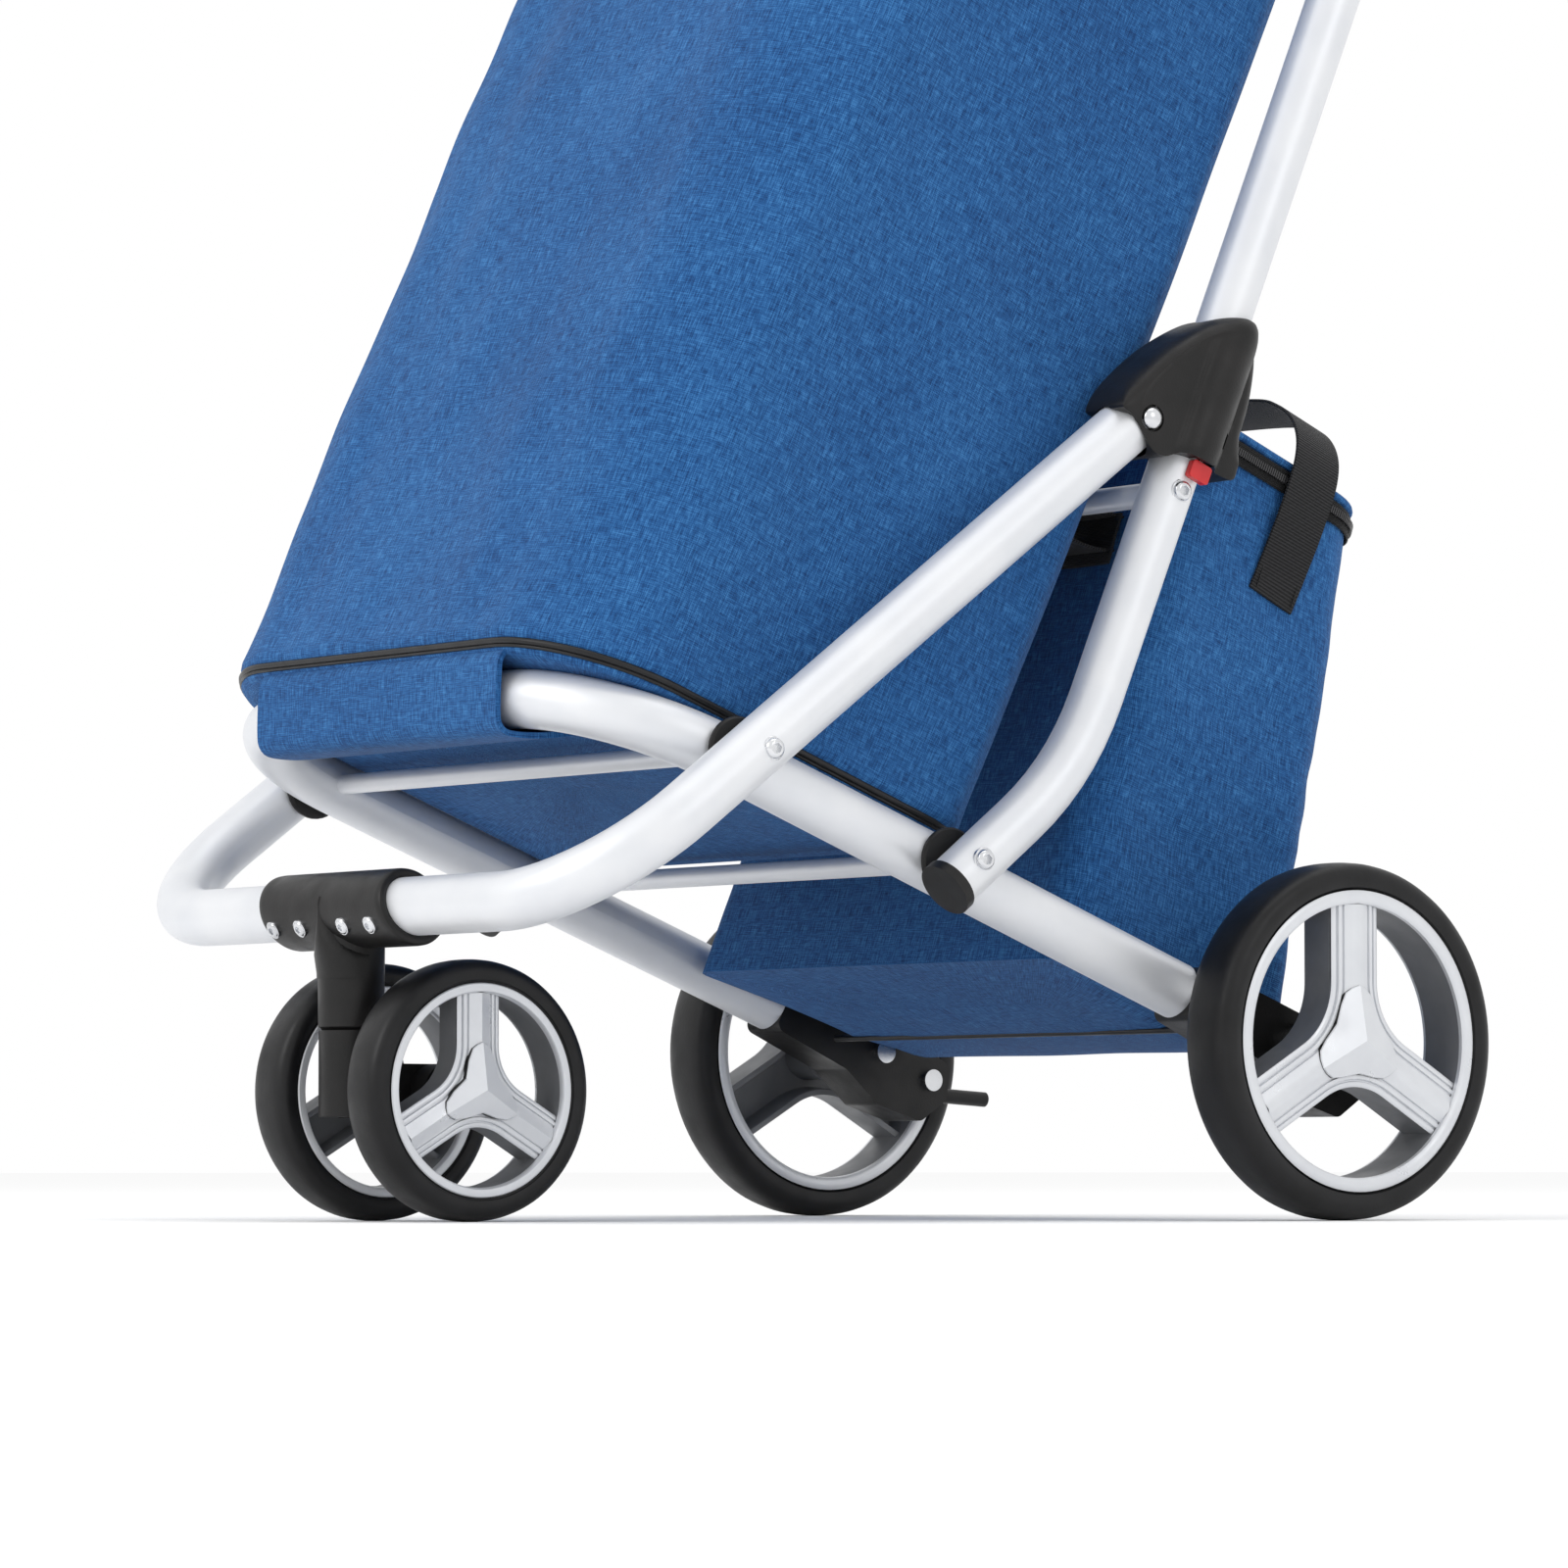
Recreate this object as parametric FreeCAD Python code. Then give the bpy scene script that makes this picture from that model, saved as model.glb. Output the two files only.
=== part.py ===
import FreeCAD, Part

# Folding shopping trolley on six wheels, with a main bag and a clip-on cooler bag.
#
# Lengths are millimetres, +Z is up and -Y is the front, where the twin caster rolls.
# The shapes are drawn with Y = 0 at the rear axle. Each node is moved along Y when it is
# written, so that the origin of the finished part lies under the middle of its box.

import math
import os

from FreeCAD import Vector

# ---- driving dimensions -------------------------------------------------------------
# frame tubes
FRAME_TUBE_R = 14.0
HANDLE_TUBE_R = 13.0
TUBE_WALL = 1.5
CROSS_ROD_R = 5.0
HANDLE_CROSSBAR_R = 6.0

# base frame: a flat U that slopes up from the rear axle to its front bar
AXLE_Z = 87.5
BASE_HALF_WIDTH = 170.0
BASE_SLOPE = math.atan(0.3891)
BASE_LENGTH = 436.3
BASE_LEG_END = 68.0
BASE_BEND_R = 75.0

# front frame: a flat U that crosses the base frame and carries the caster
FRONT_HALF_WIDTH = 200.5
FRONT_BAR_Y = -434.0
FRONT_BAR_Z = 149.0
FRONT_SLOPE = math.atan(0.7457)
FRONT_BEND_R = 70.0
FRONT_END_PAST_PIVOT = 7.0

# handle: a U whose two straight legs lean back and sweep forward at their feet
HANDLE_HALF_WIDTH = 200.0
HANDLE_LEAN = math.atan(0.4283)
HANDLE_Y_AT_FLOOR = -245.2
HANDLE_TOP_Z = 1010.0
HANDLE_TOP_BEND_R = 60.0
HANDLE_FOOT_BEND_Z = 252.0
HANDLE_FOOT_BEND_R = 152.0
HANDLE_FOOT_TURN = math.radians(29.0)
HANDLE_END_PAST_PIVOT = 15.0
GRIP_R = 17.0
GRIP_HALF_LENGTH = 95.0

# pivots, as (Y, Z)
BASE_FRONT_PIVOT = (-338.6, 219.3)
BASE_HANDLE_PIVOT = (-214.8, 171.1)
RUNNER_PIVOT = (-115.0, 386.7)
CROSSBAR_AXIS = (-94.0, 353.0)
BOLT_HEAD_R = 5.8
BOLT_HEAD_H = 3.2
BOLT_HEAD_GAP = 0.02
BOLT_R = 3.0
RIVET_R = 4.0
RUN_GAP = 0.35

# rear wheels
REAR_WHEEL_R = 87.5
REAR_WHEEL_W = 32.0
REAR_WHEEL_X = 218.0
REAR_RIM_R = 74.0
REAR_RIM_INNER_R = 67.0
REAR_HUB_R = 19.0
REAR_ARM_HALF = 14.6
AXLE_R = 6.0
AXLE_GAP = 0.08

# twin caster
CASTER_X = 41.5
FRONT_WHEEL_R = 62.5
FRONT_WHEEL_W = 27.0
FRONT_RIM_R = 51.5
FRONT_RIM_INNER_R = 46.5
FRONT_HUB_R = 14.0
FRONT_ARM_HALF = 11.9
CASTER_AXLE_Y = -394.0
CASTER_PIVOT_Y = -433.5
CASTER_STEM_R = 15.5
CASTER_SPLIT_Z = 92.0
CASTER_SPLIT_GAP = 0.8
CASTER_FOOT_Z = 50.0
CASTER_SLEEVE_R = 18.0
CASTER_SLEEVE_HALF = 49.0
CASTER_AXLE_R = 4.0

# main bag: a box with a rounded front that leans back between the handle legs
BAG_LEAN = math.radians(25.4)
BAG_HALF_WIDTH = 168.0
BAG_DEPTH = 245.0
BAG_LENGTH = 560.0
BAG_FRONT_CORNER_R = 66.0
BAG_REAR_CORNER_R = 22.0
BAG_WALL = 4.0
BAG_ABOVE_BASE = 19.6
BAG_BASE_REAR_S = 213.0
LID_THICKNESS = 10.0
LID_GAP = 0.6
SLEEVE_HALF = 94.0
SLEEVE_GAP = 0.5
SLEEVE_WALL = 3.0

# cooler bag: hangs behind the handle crossbar, its foot between the base frame's legs
COOLER_HALF_WIDTH = 149.0
COOLER_CORNER_R = 26.0
COOLER_WALL = 6.0
COOLER_FRONT_TOP = (-34.0, 400.0)
COOLER_FRONT_FOOT = (-127.0, 128.0)
COOLER_MID_FOOT = (-38.0, 95.0)
COOLER_REAR_FOOT = (22.0, 84.0)
COOLER_REAR_TOP = (79.0, 352.0)
COOLER_LID_THICKNESS = 12.0
POCKET_DEPTH = 10.0
WEBBING_W = 30.0
WEBBING_T = 2.0

X_AXIS = Vector(1, 0, 0)
Y_AXIS = Vector(0, 1, 0)
Z_AXIS = Vector(0, 0, 1)
SIDES = (("left", -1.0), ("right", 1.0))


# ---- directions and places ----------------------------------------------------------
def in_plane(y_z):
    """A point of the middle plane from its (Y, Z)."""
    return Vector(0, y_z[0], y_z[1])


BASE_DIR = Vector(0, -math.cos(BASE_SLOPE), math.sin(BASE_SLOPE))
BASE_UP = Vector(0, math.sin(BASE_SLOPE), math.cos(BASE_SLOPE))
FRONT_DIR = Vector(0, math.cos(FRONT_SLOPE), math.sin(FRONT_SLOPE))
HANDLE_DIR = Vector(0, math.sin(HANDLE_LEAN), math.cos(HANDLE_LEAN))
HANDLE_BACK = Vector(0, math.cos(HANDLE_LEAN), -math.sin(HANDLE_LEAN))
BAG_DIR = Vector(0, math.sin(BAG_LEAN), math.cos(BAG_LEAN))
BAG_BACK = Vector(0, math.cos(BAG_LEAN), -math.sin(BAG_LEAN))
AXLE = Vector(0, 0, AXLE_Z)
FRONT_BAR = Vector(0, FRONT_BAR_Y, FRONT_BAR_Z)


def on_base(s, above=0.0):
    """A point s along the base frame from the rear axle, and above its plane."""
    return AXLE + BASE_DIR * s + BASE_UP * above


def on_handle(z):
    """A point of the handle legs' axis at height z, in the middle plane."""
    return Vector(0, HANDLE_Y_AT_FLOOR + z * math.tan(HANDLE_LEAN), z)


FRONT_EXTREME = CASTER_AXLE_Y - FRONT_WHEEL_R
REAR_EXTREME = on_handle(HANDLE_TOP_Z).y + GRIP_R
TO_ORIGIN = Vector(0, -(FRONT_EXTREME + REAR_EXTREME) / 2.0, 0)


# ---- shape helpers ------------------------------------------------------------------
def rod(start, end, radius):
    """A solid round rod between two points."""
    span = end - start
    return Part.makeCylinder(radius, span.Length, start, span)


def x_rod(centre, x_from, x_to, radius):
    """A round rod along X through a point of the middle plane."""
    low, high = min(x_from, x_to), max(x_from, x_to)
    return rod(centre + X_AXIS * low, centre + X_AXIS * high, radius)


def filleted_path(points, radii):
    """A wire of straight runs joined by tangent arcs, one radius for each inner point."""
    edges = []
    start = points[0]
    for before, corner, after, radius in zip(points, points[1:], points[2:], radii):
        into = (corner - before).normalize()
        out = (after - corner).normalize()
        turn = into.getAngle(out)
        setback = radius * math.tan(turn / 2.0)
        arc_start = corner - into * setback
        arc_end = corner + out * setback
        inward = (out - into).normalize()
        middle = corner + inward * (radius / math.cos(turn / 2.0) - radius)
        if (arc_start - start).Length > 1e-6:
            edges.append(Part.LineSegment(start, arc_start).toShape())
        edges.append(Part.Arc(arc_start, middle, arc_end).toShape())
        start = arc_end
    edges.append(Part.LineSegment(start, points[-1]).toShape())
    return Part.Wire(edges)


def sweep_circle(path, points, radius):
    """A round bar of the given radius along a path that starts at points[0]."""
    circle = Part.makeCircle(radius, points[0], points[1] - points[0])
    return path.makePipeShell([Part.Wire([circle])], True, False)


def bent_tube(points, radii, outer_r, wall):
    """An open round tube along straight runs and arcs."""
    path = filleted_path(points, radii)
    outer = sweep_circle(path, points, outer_r)
    inner = sweep_circle(path, points, outer_r - wall)
    return outer.cut(inner)


def prism(points, x_from, x_to):
    """A closed (Y, Z) outline carried along X."""
    corners = [Vector(x_from, y, z) for y, z in points]
    face = Part.Face(Part.makePolygon(corners + corners[:1]))
    return face.extrude(X_AXIS * (x_to - x_from))


def fillet_along_x(shape, radius):
    """Rounds the long edges of a prism that run along X."""
    edges = [e for e in shape.Edges if is_along(e, X_AXIS)]
    return shape.makeFillet(radius, edges)


def is_along(edge, direction):
    """True for a straight edge that is parallel to a direction."""
    if not isinstance(edge.Curve, Part.Line):
        return False
    return abs(edge.Curve.Direction.dot(direction)) > 0.999


def mirrored(shape):
    """The same piece on the other side of the middle plane."""
    return shape.mirror(Vector(0, 0, 0), X_AXIS)


def on_both_sides(shape):
    """Two separate solids, one on each side."""
    return Part.Compound([shape, mirrored(shape)])


def for_side(shape, side):
    """A piece drawn at +X, placed on its own side."""
    return shape if side > 0 else mirrored(shape)


def button_bolt(centre, x_face, x_end):
    """A button-head bolt on the right side: its head stands outside x_face."""
    head = x_rod(centre, x_face, x_face + BOLT_HEAD_H, BOLT_HEAD_R)
    head = head.makeFillet(BOLT_HEAD_H * 0.6, [outer_rim(head)])
    socket = x_rod(centre, x_face + BOLT_HEAD_H * 0.4, x_face + BOLT_HEAD_H + 1, 1.9)
    shank = x_rod(centre, x_end, x_face + 0.2, BOLT_R)
    return head.fuse(shank).cut(socket)


def outer_rim(cylinder):
    """The round edge of an X cylinder that is furthest out."""
    rims = [e for e in cylinder.Edges if isinstance(e.Curve, Part.Circle)]
    return max(rims, key=lambda e: e.CenterOfMass.x)


# ---- base frame ---------------------------------------------------------------------
def base_points():
    rear = on_base(BASE_LEG_END)
    front = on_base(BASE_LENGTH)
    side = X_AXIS * BASE_HALF_WIDTH
    return [rear - side, front - side, front + side, rear + side]


def base_tube():
    return bent_tube(base_points(), [BASE_BEND_R] * 2, FRAME_TUBE_R, TUBE_WALL)


def base_tube_solid():
    """The base frame's tube filled in, for shaping what touches it."""
    points = base_points()
    path = filleted_path(points, [BASE_BEND_R] * 2)
    return sweep_circle(path, points, FRAME_TUBE_R)


def cross_rod(pivot):
    """A rod between the base frame's legs, on a pivot's axis."""
    reach = BASE_HALF_WIDTH - FRAME_TUBE_R - 0.2
    bar = x_rod(in_plane(pivot), -reach - 3.0, reach + 3.0, CROSS_ROD_R)
    return bar.cut(base_tube_solid())


def pivot_spacer(pivot, x_outer):
    """A washer with one face saddle-cut to sit on the base frame's tube."""
    washer = x_rod(in_plane(pivot), BASE_HALF_WIDTH + 6.0, x_outer, 9.0)
    return washer.cut(base_tube_solid())


def pivot_spacers():
    front_x = FRONT_HALF_WIDTH - FRAME_TUBE_R - RUN_GAP
    handle_x = HANDLE_HALF_WIDTH - HANDLE_TUBE_R - RUN_GAP
    front = pivot_spacer(BASE_FRONT_PIVOT, front_x)
    handle = pivot_spacer(BASE_HANDLE_PIVOT, handle_x)
    return Part.Compound([front, mirrored(front), handle, mirrored(handle)])


AXLE_BRACKET_X = (157.0, 186.0)


def axle_bracket():
    """The moulded foot of one base leg: a plug in the tube and a block round the axle."""
    plug_end = BASE_LEG_END + 26.0
    plug = rod(on_base(BASE_LEG_END - 1.0), on_base(plug_end), FRAME_TUBE_R - TUBE_WALL)
    plug.translate(X_AXIS * BASE_HALF_WIDTH)
    outline = [(BASE_LEG_END, 14.0), (BASE_LEG_END, -14.0), (18.0, -17.0), (-8.0, -27.0)]
    outline += [(-38.0, -25.0), (-50.0, -8.0), (-46.0, 10.0), (-20.0, 14.0)]
    places = [on_base(s, above) for s, above in outline]
    block = prism([(p.y, p.z) for p in places], *AXLE_BRACKET_X)
    block = fillet_along_x(block, 5.0)
    tail = rod(on_base(-46.0, -6.0), on_base(-84.0, 6.0), 4.0)
    tail.translate(X_AXIS * 171.5)
    body = block.fuse(plug).fuse(tail)
    return body.cut(x_rod(AXLE, 140.0, 190.0, AXLE_R))


def stub_axle():
    """The short steel axle that one rear wheel turns on, with a snap head at its end."""
    outer = REAR_WHEEL_X + REAR_WHEEL_W / 2.0
    shaft = x_rod(AXLE, AXLE_BRACKET_X[0] - 5.0, outer - 2.0, AXLE_R)
    collar = x_rod(AXLE, AXLE_BRACKET_X[1], AXLE_BRACKET_X[1] + 6.0, 10.0)
    return shaft.fuse(collar)


def bracket_bolts():
    """The bolt on the inner face of each axle bracket."""
    centre = on_base(-36.0, -2.0)
    inner = AXLE_BRACKET_X[0]
    head = x_rod(centre, inner - BOLT_HEAD_H, inner, BOLT_HEAD_R)
    return on_both_sides(head)


def bag_sleeve():
    """The fabric sleeve that holds the bag's base round the front bar."""
    inner_r = FRAME_TUBE_R + SLEEVE_GAP
    outer_r = inner_r + SLEEVE_WALL
    outer = x_rod(on_base(BASE_LENGTH), -SLEEVE_HALF, SLEEVE_HALF, outer_r)
    flap = slab(on_base(BASE_LENGTH - 44.0, -outer_r), on_base(BASE_LENGTH, -inner_r),
                -SLEEVE_HALF, SLEEVE_HALF)
    bore = x_rod(on_base(BASE_LENGTH), -SLEEVE_HALF - 1.0, SLEEVE_HALF + 1.0, inner_r)
    return outer.fuse(flap).cut(bore)


def slab(low, high, x_from, x_to):
    """A flat slab in the base frame's plane directions, between two corners."""
    along = high - low
    s_span = along.dot(BASE_DIR)
    up_span = along.dot(BASE_UP)
    corners = [low, low + BASE_DIR * s_span, high, low + BASE_UP * up_span]
    return prism([(c.y, c.z) for c in corners], x_from, x_to)


def bag_base_board():
    """The stiff board that lies in the bottom of the main bag."""
    rear = BAG_BASE_REAR_S + 12.0
    front = BAG_BASE_REAR_S + BAG_DEPTH - 14.0
    floor = BAG_ABOVE_BASE + BAG_WALL + 0.4
    half = BAG_HALF_WIDTH - BAG_WALL - 3.0
    board = slab(on_base(rear, floor), on_base(front, floor + 3.0), -half, half)
    corners = [e for e in board.Edges if is_along(e, BASE_UP) and e.CenterOfMass.y < -300]
    return board.makeFillet(BAG_FRONT_CORNER_R - BAG_WALL, corners)


# ---- wheels -------------------------------------------------------------------------
def ring(centre, x_centre, width, outer_r, inner_r):
    """A flat ring about an X axis."""
    x_from, x_to = x_centre - width / 2.0, x_centre + width / 2.0
    return x_rod(centre, x_from, x_to, outer_r).cut(x_rod(centre, x_from, x_to, inner_r))


def tyre(centre, x_centre, width, outer_r, inner_r):
    """A solid tyre with a rounded tread."""
    blank = ring(centre, x_centre, width, outer_r, inner_r)
    rims = [e for e in blank.Edges if isinstance(e.Curve, Part.Circle)]
    shoulders = [e for e in rims if e.Curve.Radius > (outer_r + inner_r) / 2.0]
    return blank.makeFillet(min(outer_r - inner_r, width) * 0.55, shoulders)


def rim(centre, x_centre, width, outer_r, inner_r, hub_r, arm_half, bore_r):
    """A three-spoked rim with its hub."""
    body = ring(centre, x_centre, width, outer_r, inner_r)
    body = body.fuse(x_rod(centre, x_centre - width / 2, x_centre + width / 2, hub_r))
    reach = (inner_r + outer_r) / 2.0
    face = width * 0.8
    for turn in (0.0, 120.0, 240.0):
        low = x_centre - face / 2.0
        corners = [(-arm_half, 0.0), (arm_half, 0.0), (arm_half, reach), (-arm_half, reach)]
        arm = prism([(centre.y + y, centre.z + z) for y, z in corners], low, low + face)
        arm.rotate(centre, X_AXIS, turn)
        body = body.fuse(arm)
    return body.cut(x_rod(centre, x_centre - width, x_centre + width, bore_r))


def hub_cap(centre, x_face, height, radius):
    """A low faceted cap with three lobes."""
    corners = []
    for turn in range(0, 360, 60):
        reach = radius if turn % 120 == 0 else radius * 0.72
        angle = math.radians(turn)
        corners.append((centre.y + reach * math.sin(angle), centre.z + reach * math.cos(angle)))
    cap = prism(corners, x_face, x_face + height)
    lip = [e for e in cap.Edges if e.CenterOfMass.x > x_face + height - 0.01]
    return cap.makeChamfer(height * 0.6, lip)


def rear_wheel_pieces():
    bush_r = AXLE_R + 3.0
    width = REAR_WHEEL_W - 4.0
    cap_face = REAR_WHEEL_X + width / 2.0
    return {
        "rear_tyre": tyre(AXLE, REAR_WHEEL_X, REAR_WHEEL_W, REAR_WHEEL_R, REAR_RIM_R),
        "rear_rim": rim(AXLE, REAR_WHEEL_X, width, REAR_RIM_R, REAR_RIM_INNER_R,
                        REAR_HUB_R, REAR_ARM_HALF, bush_r),
        "rear_hub_cap": hub_cap(AXLE, cap_face, 2.4, 26.0),
        "rear_bush": ring(AXLE, REAR_WHEEL_X, width, bush_r, AXLE_R + AXLE_GAP),
    }


def caster_centre():
    return Vector(0, CASTER_AXLE_Y, FRONT_WHEEL_R)


def front_wheel_pieces():
    centre = caster_centre()
    bore_r = CASTER_AXLE_R + AXLE_GAP
    width = FRONT_WHEEL_W - 3.0
    cap_face = CASTER_X + width / 2.0
    return {
        "front_tyre": tyre(centre, CASTER_X, FRONT_WHEEL_W, FRONT_WHEEL_R, FRONT_RIM_R),
        "front_rim": rim(centre, CASTER_X, width, FRONT_RIM_R, FRONT_RIM_INNER_R,
                         FRONT_HUB_R, FRONT_ARM_HALF, bore_r),
        "front_hub_cap": hub_cap(centre, cap_face, 1.4, 18.5),
    }


# ---- front frame and caster ---------------------------------------------------------
def front_tube():
    """The front U, its leg ends pierced for the runner rivets."""
    top = in_plane(RUNNER_PIVOT) + FRONT_DIR * FRONT_END_PAST_PIVOT
    side = X_AXIS * FRONT_HALF_WIDTH
    points = [top - side, FRONT_BAR - side, FRONT_BAR + side, top + side]
    tube = bent_tube(points, [FRONT_BEND_R] * 2, FRAME_TUBE_R, TUBE_WALL)
    tube = tube.cut(x_rod(in_plane(RUNNER_PIVOT), -230, 230, RIVET_R + RUN_GAP))
    return tube.cut(x_rod(in_plane(BASE_FRONT_PIVOT), -230, 230, BOLT_R))


def front_pivot_bolts():
    inner = FRONT_HALF_WIDTH - FRAME_TUBE_R + 0.2
    outer = FRONT_HALF_WIDTH + FRAME_TUBE_R + BOLT_HEAD_GAP
    return on_both_sides(button_bolt(in_plane(BASE_FRONT_PIVOT), outer, inner))


def caster_axis(z):
    return Vector(0, CASTER_PIVOT_Y, z)


BRACKET_BOLT_X = (-43.0, -19.0, 19.0, 43.0)
BRACKET_BOLT_DIR = Vector(0, -math.cos(math.radians(28)), -math.sin(math.radians(28)))


def caster_bracket():
    """The moulded T that clasps the front bar and holds the caster's upper stem."""
    sleeve = x_rod(FRONT_BAR, -CASTER_SLEEVE_HALF, CASTER_SLEEVE_HALF, CASTER_SLEEVE_R)
    apron = prism([(FRONT_BAR_Y - 17.5, FRONT_BAR_Z - 4), (FRONT_BAR_Y - 14, FRONT_BAR_Z - 19),
                   (FRONT_BAR_Y + 4, FRONT_BAR_Z - 22), (FRONT_BAR_Y + 14, FRONT_BAR_Z - 11)],
                  -CASTER_SLEEVE_HALF, CASTER_SLEEVE_HALF)
    stem = rod(caster_axis(CASTER_SPLIT_Z), caster_axis(FRONT_BAR_Z), CASTER_STEM_R)
    body = sleeve.fuse(apron).fuse(stem)
    body = body.cut(x_rod(FRONT_BAR, -100, 100, FRAME_TUBE_R))
    bore = rod(caster_axis(CASTER_SPLIT_Z - 5), caster_axis(CASTER_SPLIT_Z + 34), 5.0 + AXLE_GAP)
    return body.cut(bore)


def caster_bracket_bolts():
    """Four small bolts through the T's front face."""
    heads = []
    for x in BRACKET_BOLT_X:
        face = FRONT_BAR + BRACKET_BOLT_DIR * (CASTER_SLEEVE_R - 0.6) + X_AXIS * x
        heads.append(rod(face, face + BRACKET_BOLT_DIR * 2.6, 4.4))
    bracket = caster_bracket()
    return Part.Compound([head.cut(bracket) for head in heads])


def caster_stem():
    """The turning half of the caster: a stem and the arm that trails to the axle."""
    top = CASTER_SPLIT_Z - CASTER_SPLIT_GAP
    stem = rod(caster_axis(CASTER_FOOT_Z), caster_axis(top), CASTER_STEM_R)
    centre = caster_centre()
    boss = x_rod(centre, -24.0, 24.0, 13.0)
    arm = Part.makeBox(22.0, CASTER_AXLE_Y - CASTER_PIVOT_Y, 26.0,
                       Vector(-11.0, CASTER_PIVOT_Y, FRONT_WHEEL_R - 13.0))
    body = stem.fuse(boss).fuse(arm)
    body = body.cut(x_rod(centre, -40, 40, CASTER_AXLE_R))
    return body.cut(rod(caster_axis(CASTER_FOOT_Z + 8), caster_axis(top + 1), 5.0))


def caster_kingpin():
    return rod(caster_axis(CASTER_FOOT_Z + 8), caster_axis(CASTER_SPLIT_Z + 32), 5.0)


def caster_axle():
    reach = CASTER_X + FRONT_WHEEL_W / 2.0 - 3.0
    return x_rod(caster_centre(), -reach, reach, CASTER_AXLE_R)


# ---- handle -------------------------------------------------------------------------
def handle_points():
    """The right leg's path, from its foot to the middle of the top bar."""
    bend = on_handle(HANDLE_FOOT_BEND_Z)
    setback = HANDLE_FOOT_BEND_R * math.tan(HANDLE_FOOT_TURN / 2.0)
    corner = bend - HANDLE_DIR * setback
    lean = HANDLE_LEAN + HANDLE_FOOT_TURN
    foot_dir = Vector(0, math.sin(lean), math.cos(lean))
    reach = (in_plane(BASE_HANDLE_PIVOT) - corner).Length
    foot = corner - foot_dir * (reach + HANDLE_END_PAST_PIVOT)
    return foot, corner, on_handle(HANDLE_TOP_Z)


def handle_tube():
    foot, corner, top = handle_points()
    side = X_AXIS * HANDLE_HALF_WIDTH
    points = [foot - side, corner - side, top - side, top + side, corner + side, foot + side]
    radii = [HANDLE_FOOT_BEND_R, HANDLE_TOP_BEND_R, HANDLE_TOP_BEND_R, HANDLE_FOOT_BEND_R]
    tube = bent_tube(points, radii, HANDLE_TUBE_R, TUBE_WALL)
    tube = tube.cut(x_rod(in_plane(BASE_HANDLE_PIVOT), -230, 230, BOLT_R))
    return tube.cut(x_rod(in_plane(CROSSBAR_AXIS), -230, 230, BOLT_R))


def handle_end_caps():
    """The black caps that close the two feet of the handle."""
    foot, corner, _ = handle_points()
    inward = (corner - foot).normalize()
    side = X_AXIS * HANDLE_HALF_WIDTH
    lip = rod(foot + side - inward * 5.0, foot + side, HANDLE_TUBE_R + 1.0)
    plug = rod(foot + side - inward * 1.0, foot + side + inward * 9.0,
               HANDLE_TUBE_R - TUBE_WALL)
    return on_both_sides(lip.fuse(plug))


def handle_pivot_bolts():
    inner = HANDLE_HALF_WIDTH - HANDLE_TUBE_R + 0.2
    outer = HANDLE_HALF_WIDTH + HANDLE_TUBE_R + BOLT_HEAD_GAP
    return on_both_sides(button_bolt(in_plane(BASE_HANDLE_PIVOT), outer, inner))


def handle_crossbar():
    reach = HANDLE_HALF_WIDTH - HANDLE_TUBE_R + 1.6
    bar = x_rod(in_plane(CROSSBAR_AXIS), -reach, reach, HANDLE_CROSSBAR_R)
    _, corner, top = handle_points()
    for side in (-1.0, 1.0):
        offset = X_AXIS * HANDLE_HALF_WIDTH * side
        bar = bar.cut(rod(corner + offset, top + offset, HANDLE_TUBE_R))
    return bar


def crossbar_bolts():
    inner = HANDLE_HALF_WIDTH - HANDLE_TUBE_R + 4.0
    outer = HANDLE_HALF_WIDTH + HANDLE_TUBE_R + BOLT_HEAD_GAP
    return on_both_sides(button_bolt(in_plane(CROSSBAR_AXIS), outer, inner))


def handle_grip():
    """The soft sleeve on the top bar."""
    centre = on_handle(HANDLE_TOP_Z)
    grip = ring(centre, 0.0, 2.0 * GRIP_HALF_LENGTH, GRIP_R, HANDLE_TUBE_R)
    rims = [e for e in grip.Edges if isinstance(e.Curve, Part.Circle)]
    return grip.makeFillet(2.0, [e for e in rims if e.Curve.Radius > HANDLE_TUBE_R + 1])


# ---- runners and their buttons ------------------------------------------------------
RUNNER_X = (183.0, 219.0)
RUNNER_OUTLINE = [(-140.0, 391.0), (-128.0, 404.0), (-100.0, 424.0), (-72.0, 439.0),
                  (-51.0, 438.0), (-42.0, 424.0), (-46.0, 400.0), (-56.0, 374.0),
                  (-64.0, 362.0), (-80.0, 367.0), (-97.0, 371.0), (-112.0, 368.0),
                  (-124.0, 376.0)]
BUTTON_HEIGHT = 9.0
BUTTON_X = (213.4, 217.2)
BUTTON_TRAVEL = 4.0
BUTTON_Z = 363.8


def button_centre():
    """The middle of a release button's foot, in the middle plane."""
    return on_handle(BUTTON_Z) + HANDLE_BACK * 4.0


def button_block(grow, extra_up):
    """The right button's block, grown by a clearance and lengthened upwards."""
    centre = button_centre()
    half = 6.0 + grow
    low = centre - HANDLE_DIR * (BUTTON_HEIGHT * 0.5 + grow)
    high = centre + HANDLE_DIR * (BUTTON_HEIGHT * 0.5 + grow + extra_up)
    corners = [low - HANDLE_BACK * half, low + HANDLE_BACK * half,
               high + HANDLE_BACK * half, high - HANDLE_BACK * half]
    return prism([(c.y, c.z) for c in corners], BUTTON_X[0] - grow * 0.5, BUTTON_X[1] + grow)


def release_button():
    return fillet_along_x(button_block(0.0, 0.0), 1.5)


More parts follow.
